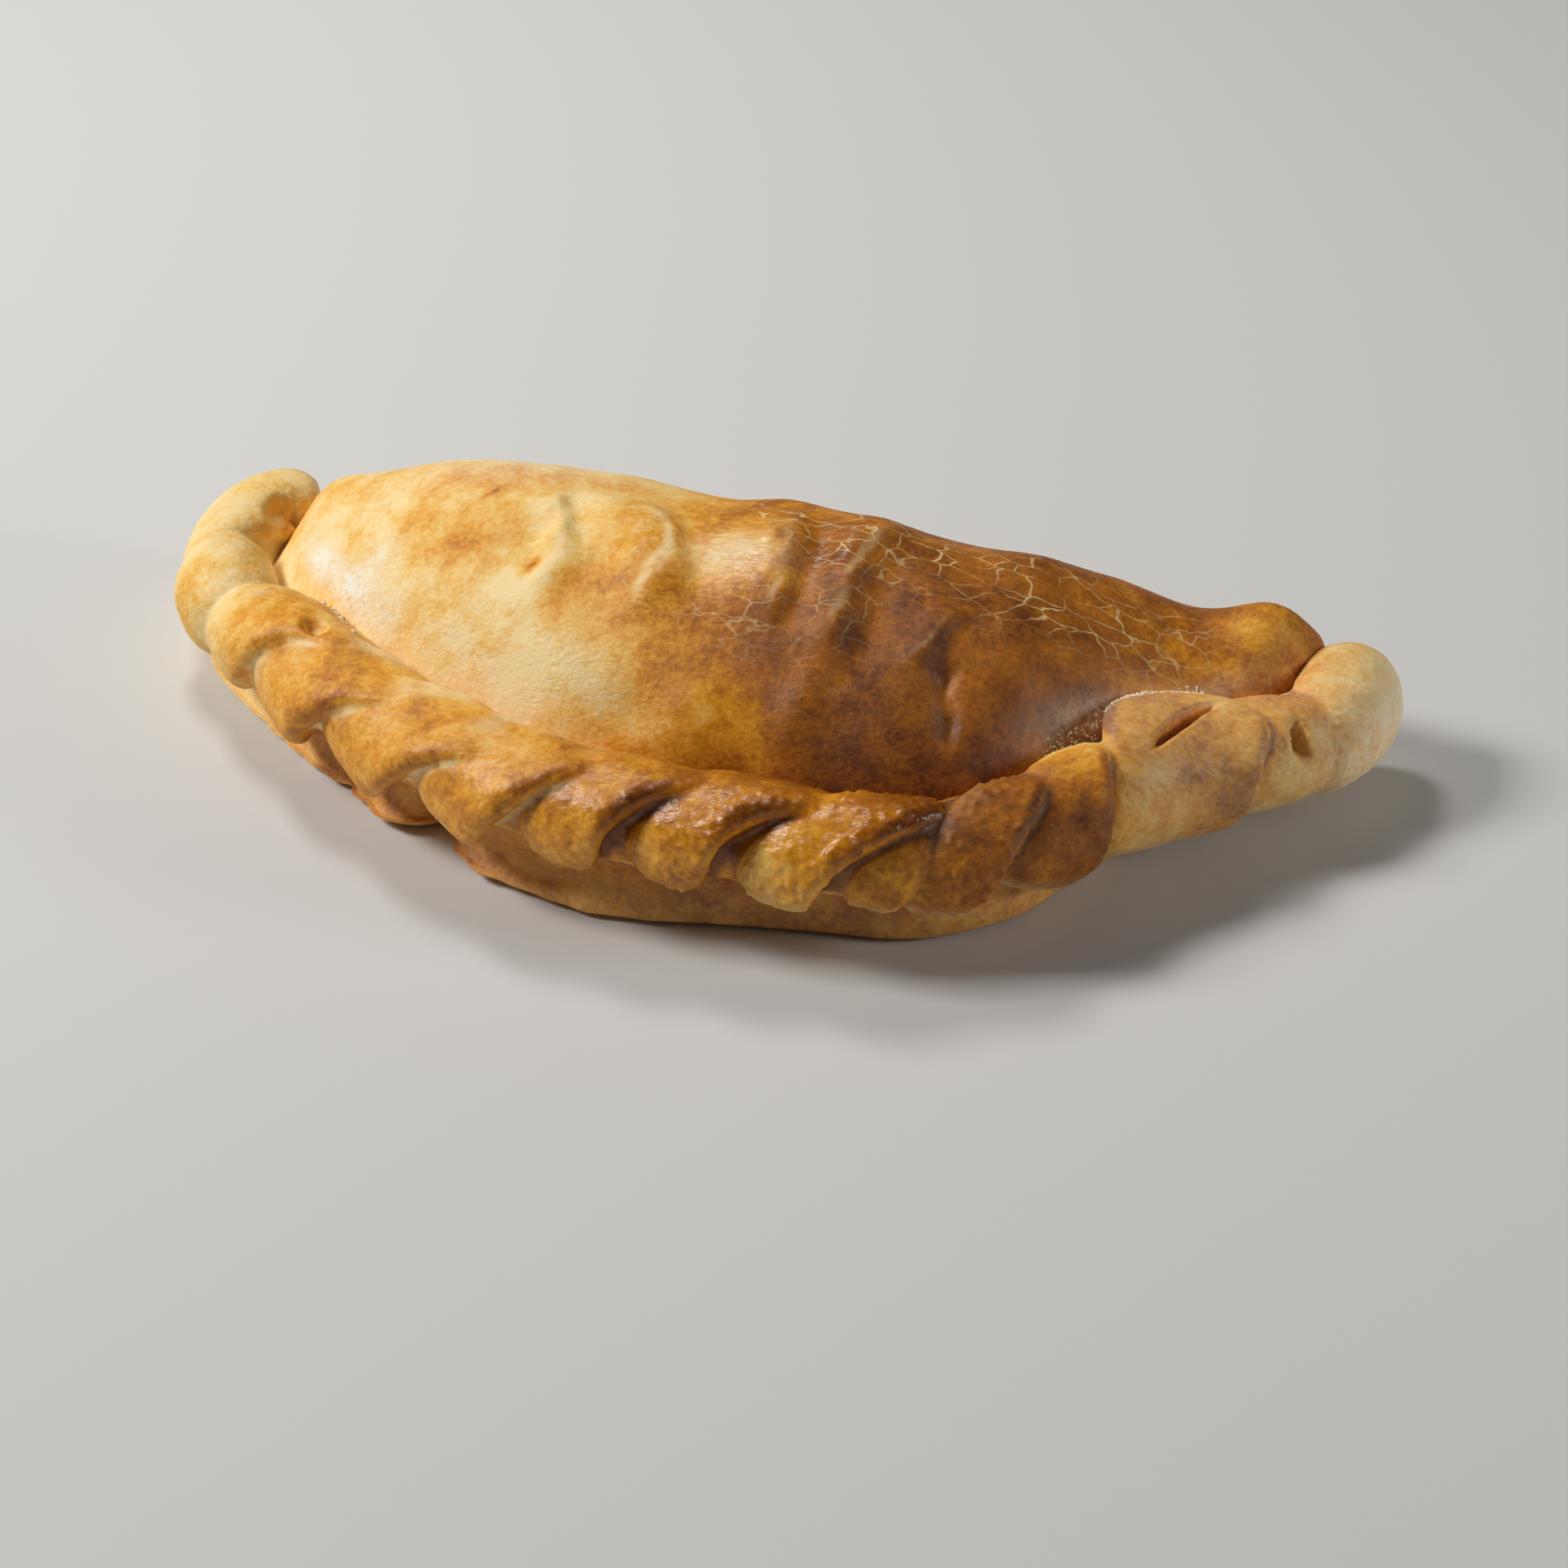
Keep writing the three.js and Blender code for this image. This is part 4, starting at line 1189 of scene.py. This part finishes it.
def edge_ends(mesh):
    """The two points of every edge of a mesh, as two arrays."""
    ends = np.empty(len(mesh.edges) * 2, np.int32)
    mesh.edges.foreach_get("vertices", ends)
    return ends.reshape(-1, 2).T


def averaged(mesh, values, rounds):
    """Rows of values at a mesh's points, each averaged with its neighbours over and over."""
    a, b = edge_ends(mesh)
    size = len(values)
    count = np.bincount(np.concatenate([a, b]), minlength=size)
    for _ in range(rounds):
        total = [np.bincount(a, column[b], size) + np.bincount(b, column[a], size) for column in values.T]
        values = (values + np.stack(total, 1) / count[:, None]) / 2
    return values


def hollows(mesh, points, rounds):
    """Millimetres that each point lies below the skin round it: positive in creases, negative on crests."""
    smooth = averaged(mesh, points, rounds)
    normals = np.empty(len(mesh.vertices) * 3, np.float32)
    mesh.vertex_normals.foreach_get("vector", normals)
    return ((smooth - points) * normals.reshape(-1, 3)).sum(1) / MM


def keep_largest_shell(mesh):
    """Drops the small shells that a joined mesh may hold inside it."""
    a, b = edge_ends(mesh)
    label, before = np.arange(len(mesh.vertices)), None
    while before is None or (label != before).any():
        before = label.copy()
        low = np.minimum(label[a], label[b])
        np.minimum.at(label, a, low)
        np.minimum.at(label, b, low)
        label = label[label]
    stray = np.flatnonzero(label != np.bincount(label).argmax())
    if len(stray):
        whole = bmesh.new()
        whole.from_mesh(mesh)
        whole.verts.ensure_lookup_table()
        bmesh.ops.delete(whole, geom=[whole.verts[k] for k in stray], context="VERTS")
        whole.to_mesh(mesh)
        whole.free()


def joined_rope(sizes):
    """The rope as one skin, with the fold that each point lies on, its way along it and its side of it."""
    edge = edge_curve()
    folds = evaluate(hold("folds", fold_table()), fold_tree(), {
        "Edge": edge, "Rope radius": sizes.rope_radius, "Core share": sizes.core_share,
        "Fold middle": FOLD_MIDDLE, "Fold thickness": FOLD_THICKNESS, "Crust": crust_material(),
    }, "folds")
    bpy.data.objects.remove(edge)
    drawn = read_points(folds)
    labels = [read_values(folds, name) for name in ("fold", "fold_share", "fold_side")]
    joined = hold("rope", folds)
    remesh = joined.modifiers.new("one skin", "REMESH")
    remesh.mode = "VOXEL"
    remesh.voxel_size = ROPE_VOXEL
    soften = joined.modifiers.new("softened", "SMOOTH")
    soften.factor = SOFTEN_FACTOR
    soften.iterations = SOFTEN_ROUNDS
    mesh = evaluate(joined, name="rope")
    keep_largest_shell(mesh)

    tree = KDTree(len(drawn))
    for k in np.flatnonzero(labels[0] > 0):
        tree.insert(drawn[k], int(k))
    tree.balance()
    nearest = np.array([tree.find(point)[1] for point in read_points(mesh)])
    number, share, side = [values[nearest] for values in labels]
    return mesh, number.astype(int) - 1, share, side


def bake_rope(mesh, fold, share, side, length, angle):
    """Bakes the rope by its folds, its creases and its underside, with painted shade in the later grooves."""
    points = read_points(mesh)
    crease, seam = [hollows(mesh, points, rounds) for rounds in (CREASE_ROUNDS, SEAM_ROUNDS)]
    baking = np.array(FOLD_BAKING_AND_PAINTED_LIGHT)[fold]
    foot, middle, tail = baking[:, :3].T
    early, late = np.clip(share * 2, 0, 1), np.clip(share * 2 - 1, 0, 1)
    bake = foot + (middle - foot) * early + (tail - middle) * late
    trailing = ramp(-side, *SEAM_BEHIND_FOLD) * smoothstep(angle, *SEAM_ON_TOP)
    bake, trailing, pale, shine, blister, flour = averaged(
        mesh, np.column_stack([bake, trailing, baking[:, 3:]]), BAKING_ROUNDS).T
    low = smoothstep(-angle, *UNDERSIDE) * (angle > UNDERSIDE_ENDS)
    bake += ramp(-crease, *BROWNER_CREST) * smoothstep(angle, *TOP_OF_ROPE) - UNDERSIDE_PALER * low
    # Painted shade darkens the grooves between the later folds
    bake += ramp(crease, *GROOVE_PAINTED_SHADE) * smoothstep(length, *PAINTED_SHADE_GROOVES)
    # Flour and painted light on the end lobe's shaded lower side
    end_flour_and_light = ramp(length, *END_FLOUR_AND_LIGHT) * smoothstep(-angle, *END_FLOUR_AND_LIGHT_SIDE)
    write_baking(
        mesh,
        bake=bake,
        shine=np.clip(shine * (1 - UNDERSIDE_DULLER * low), 0, 1),
        flour=ramp(length, *RIGHT_FILM) + np.maximum(flour * low, end_flour_and_light),
        wrinkle=np.full(len(points), ROPE_WRINKLES),
        seam=pale * np.maximum(smoothstep(seam, *SEAM_DEPTH), trailing),
        blister=blister * smoothstep(-crease, *BLISTERED_CREST),
    )


def press_dents(mesh, length, angle, away, outward):
    """Presses the dents into the rope, towards its middle."""
    turned = np.radians(angle)
    radial = outward * np.cos(turned)[:, None] + np.array([0, 0, 1]) * np.sin(turned)[:, None]
    push = np.zeros(len(length))
    for at, around, half_along, half_round, depth, turn in DENTS:
        far = oval(length - at, np.radians(angle - around) * away, half_along, half_round, turn)
        push += depth * np.exp(-far * far)
    write_points(mesh, read_points(mesh) - radial * push[:, None] * MM)


class BuildRope(bpy.types.Operator):
    """Builds the rolled edge with its thumb folds"""

    bl_idname = "empanada.rope"
    bl_label = "Crimped rope"

    def execute(self, context):
        mesh, fold, share, side = joined_rope(context.scene.empanada_sizes)
        length, angle, away, outward = round_the_rope(to_drawn(read_points(mesh)))
        bake_rope(mesh, fold, share, side, length, angle)
        press_dents(mesh, length, angle, away, outward)
        finish_piece("rope", relieve("rope", mesh, ROPE_LUMPS))
        return {"FINISHED"}


LOOK_DOWN_FROM = 0.1


def crust_surface(*names):
    """Function that finds the height of the built pieces over a drawn point in plan."""
    graph = bpy.context.evaluated_depsgraph_get()
    trees = []
    for name in names:
        if name not in bpy.data.objects:
            raise RuntimeError(f"Build the {name} first")
        trees.append(BVHTree.FromObject(bpy.data.objects[name], graph))

    def height(x, y):
        above = Vector((*to_metres((x, y, 0))[:2], LOOK_DOWN_FROM))
        hits = [tree.ray_cast(above, Vector((0, 0, -1)))[0] for tree in trees]
        return max((hit.z / MM for hit in hits if hit is not None), default=0.0)

    return height


def crumb_tree():
    """Tree that sets an uneven crumb of dough on each point."""
    tree, given, made = new_tree("crumbs", [
        ("Geometry", "NodeSocketGeometry"), ("Seed", "NodeSocketInt"), ("Crust", "NodeSocketMaterial"),
    ])
    ball = add(tree, "GeometryNodeMeshIcoSphere", {"Radius": 1.0, "Subdivisions": 2})
    turn = add(tree, "FunctionNodeRandomValue", {
        0: (0.0, 0.0, 0.0), 1: CRUMB_TURN, "Seed": given.outputs["Seed"]}, data_type="FLOAT_VECTOR")
    size = add(tree, "GeometryNodeInputNamedAttribute", {"Name": "radius_of_crumb"}, data_type="FLOAT")
    low = add(tree, "ShaderNodeMath", {0: size, 1: CRUMB_FLATNESS}, operation="MULTIPLY")
    flat = add(tree, "ShaderNodeCombineXYZ", {"X": size, "Y": size, "Z": low})
    spread = add(tree, "GeometryNodeInstanceOnPoints", {
        "Points": given.outputs["Geometry"], "Instance": ball.outputs["Mesh"], "Rotation": turn.outputs[0],
        "Scale": flat})
    # The crumbs are made real before their lumps, so that no two are alike
    real = add(tree, "GeometryNodeRealizeInstances", {0: spread})
    place = add(tree, "GeometryNodeInputPosition")
    lumps = add(tree, "ShaderNodeTexNoise", {"Vector": place, "Scale": 1 / CRUMB_LUMPS, "Detail": 1.0})
    centred = add(tree, "ShaderNodeVectorMath", {0: lumps.outputs["Color"], 1: (0.5, 0.5, 0.5)},
                  operation="SUBTRACT")
    offset = add(tree, "ShaderNodeVectorMath", {0: centred, "Scale": CRUMB_LUMP_DEPTH}, operation="SCALE")
    moved = add(tree, "GeometryNodeSetPosition", {"Geometry": real, "Offset": offset})
    return end_tree(tree, given, made, moved)


class BuildCrumbs(bpy.types.Operator):
    """Builds the crumbs and the torn dough between the dome and the rope"""

    bl_idname = "empanada.crumbs"
    bl_label = "Crumbs"

    def execute(self, context):
        height = crust_surface("pocket", "rope")
        draw = np.random.default_rng(CRUMB_SEED)
        points, radii = [], []
        for line, spread, count, least, most in CRUMBS:
            line = smooth_line(line, CRUMB_LINE_STEPS)
            size = least + (most - least) * draw.power(CRUMB_SMALLNESS, count)
            for radius, k in zip(size, draw.integers(0, len(line), count)):
                x, y = line[k] + draw.normal(0, spread, 2)
                points.append((x, y, height(x, y) - CRUMB_SUNK * radius))
                radii.append(radius * MM)
        mesh = bpy.data.meshes.new("crumbs")
        mesh.from_pydata(to_metres(points).tolist(), [], [])
        write_values(mesh, "radius_of_crumb", radii)
        made = evaluate(hold("crumbs", mesh), crumb_tree(), {
            "Seed": CRUMB_SEED, "Crust": crust_material()}, "crumbs")
        write_baking(made, flour=np.full(len(made.vertices), CRUMB_FLOUR))
        finish_piece("crumbs", made)
        return {"FINISHED"}


def lay_floor(colours):
    """Lays the pale studio floor: matte paper, which gives the eye nothing but the shadow."""
    mesh = bpy.data.meshes.new("floor")
    corners = [(x * FLOOR_HALF, y * FLOOR_HALF, 0) for x, y in ((-1, -1), (1, -1), (1, 1), (-1, 1))]
    mesh.from_pydata(corners, [], [(0, 1, 2, 3)])
    floor = hold("floor", mesh)
    material = bpy.data.materials.new("matte_paper")
    material.use_nodes = True
    paper = material.node_tree.nodes["Principled BSDF"].inputs
    paper["Base Color"].default_value = colours.floor
    paper["Roughness"].default_value = FLOOR_ROUGHNESS
    mesh.materials.append(material)


def hang_lights(scene):
    """Hangs the soft studio lights, one of which gives only shine and one no shine, under a dim white sky."""
    for name, place, size, power in LIGHTS:
        lamp = bpy.data.lights.new(name, "AREA")
        lamp.shape = "SQUARE"
        lamp.size = size * MM
        lamp.energy = power
        light = hold(name, lamp)
        light.visible_glossy = name != "back"
        light.visible_diffuse = name != "glint"
        light.location = to_metres(place)
        aim = Vector(to_metres(LIGHT_AIM)) - light.location
        light.rotation_euler = aim.to_track_quat("-Z", "Y").to_euler()
    scene.world = bpy.data.worlds.new("studio")
    scene.world.use_nodes = True
    sky = scene.world.node_tree.nodes["Background"].inputs
    sky["Color"].default_value = (1, 1, 1, 1)
    sky["Strength"].default_value = WORLD_STRENGTH


def set_camera(scene):
    """Sets the camera where the photograph was taken from."""
    turn, down = math.radians(CAMERA_TURN), math.radians(CAMERA_DOWN)
    back = np.array([math.sin(turn) * math.cos(down), -math.cos(turn) * math.cos(down), math.sin(down)])
    right = np.array([math.cos(turn), math.sin(turn), 0])
    up = np.cross(back, right)
    pixels = CAMERA_LENS / SENSOR_WIDTH * PHOTO_SIZE
    aside, above = (AIM_PIXEL[0] - PHOTO_SIZE / 2) / pixels, (PHOTO_SIZE / 2 - AIM_PIXEL[1]) / pixels
    eye = to_metres(CAMERA_AIM + CAMERA_DISTANCE * (back - aside * right - above * up))
    camera = bpy.data.cameras.new("camera")
    camera.lens = CAMERA_LENS
    camera.sensor_width = SENSOR_WIDTH
    camera.clip_start = CLIP_START
    holder = hold("camera", camera)
    rows = [[*axes, at] for *axes, at in zip(right, up, back, eye)]
    holder.matrix_world = Matrix(rows + [[0, 0, 0, 1]])
    scene.camera = holder


class BuildStage(bpy.types.Operator):
    """Builds the floor, the studio light and the camera"""

    bl_idname = "empanada.stage"
    bl_label = "Floor, light and camera"

    def execute(self, context):
        lay_floor(context.scene.empanada_colours)
        hang_lights(context.scene)
        set_camera(context.scene)
        context.scene.view_settings.view_transform = "Standard"
        return {"FINISHED"}


class EmpanadaPanel(bpy.types.Panel):
    """Lists the sizes, the colours and the building steps"""

    bl_idname = "VIEW3D_PT_empanada"
    bl_label = "Empanada"
    bl_space_type = "VIEW_3D"
    bl_region_type = "UI"
    bl_category = "Empanada"

    def draw(self, context):
        for group in (context.scene.empanada_sizes, context.scene.empanada_colours):
            box = self.layout.box()
            for name in group.__annotations__:
                box.prop(group, name)
        for step in STEPS:
            self.layout.operator(step.bl_idname)


GROUPS = (EmpanadaSizes, EmpanadaColours)
STEPS = (BuildPocket, BuildRope, BuildCrumbs, BuildStage)


def register():
    """Makes the classes known to Blender."""
    for item in (*GROUPS, *STEPS, EmpanadaPanel):
        bpy.utils.register_class(item)
    bpy.types.Scene.empanada_sizes = bpy.props.PointerProperty(type=EmpanadaSizes)
    bpy.types.Scene.empanada_colours = bpy.props.PointerProperty(type=EmpanadaColours)


def unregister():
    """Takes the classes away again."""
    del bpy.types.Scene.empanada_colours
    del bpy.types.Scene.empanada_sizes
    for item in (EmpanadaPanel, *STEPS[::-1], *GROUPS[::-1]):
        bpy.utils.unregister_class(item)


def main():
    """Builds every piece and the stage."""
    register()
    bpy.ops.empanada.pocket()
    bpy.ops.empanada.rope()
    bpy.ops.empanada.crumbs()
    bpy.ops.empanada.stage()


if __name__ == "__main__":
    main()
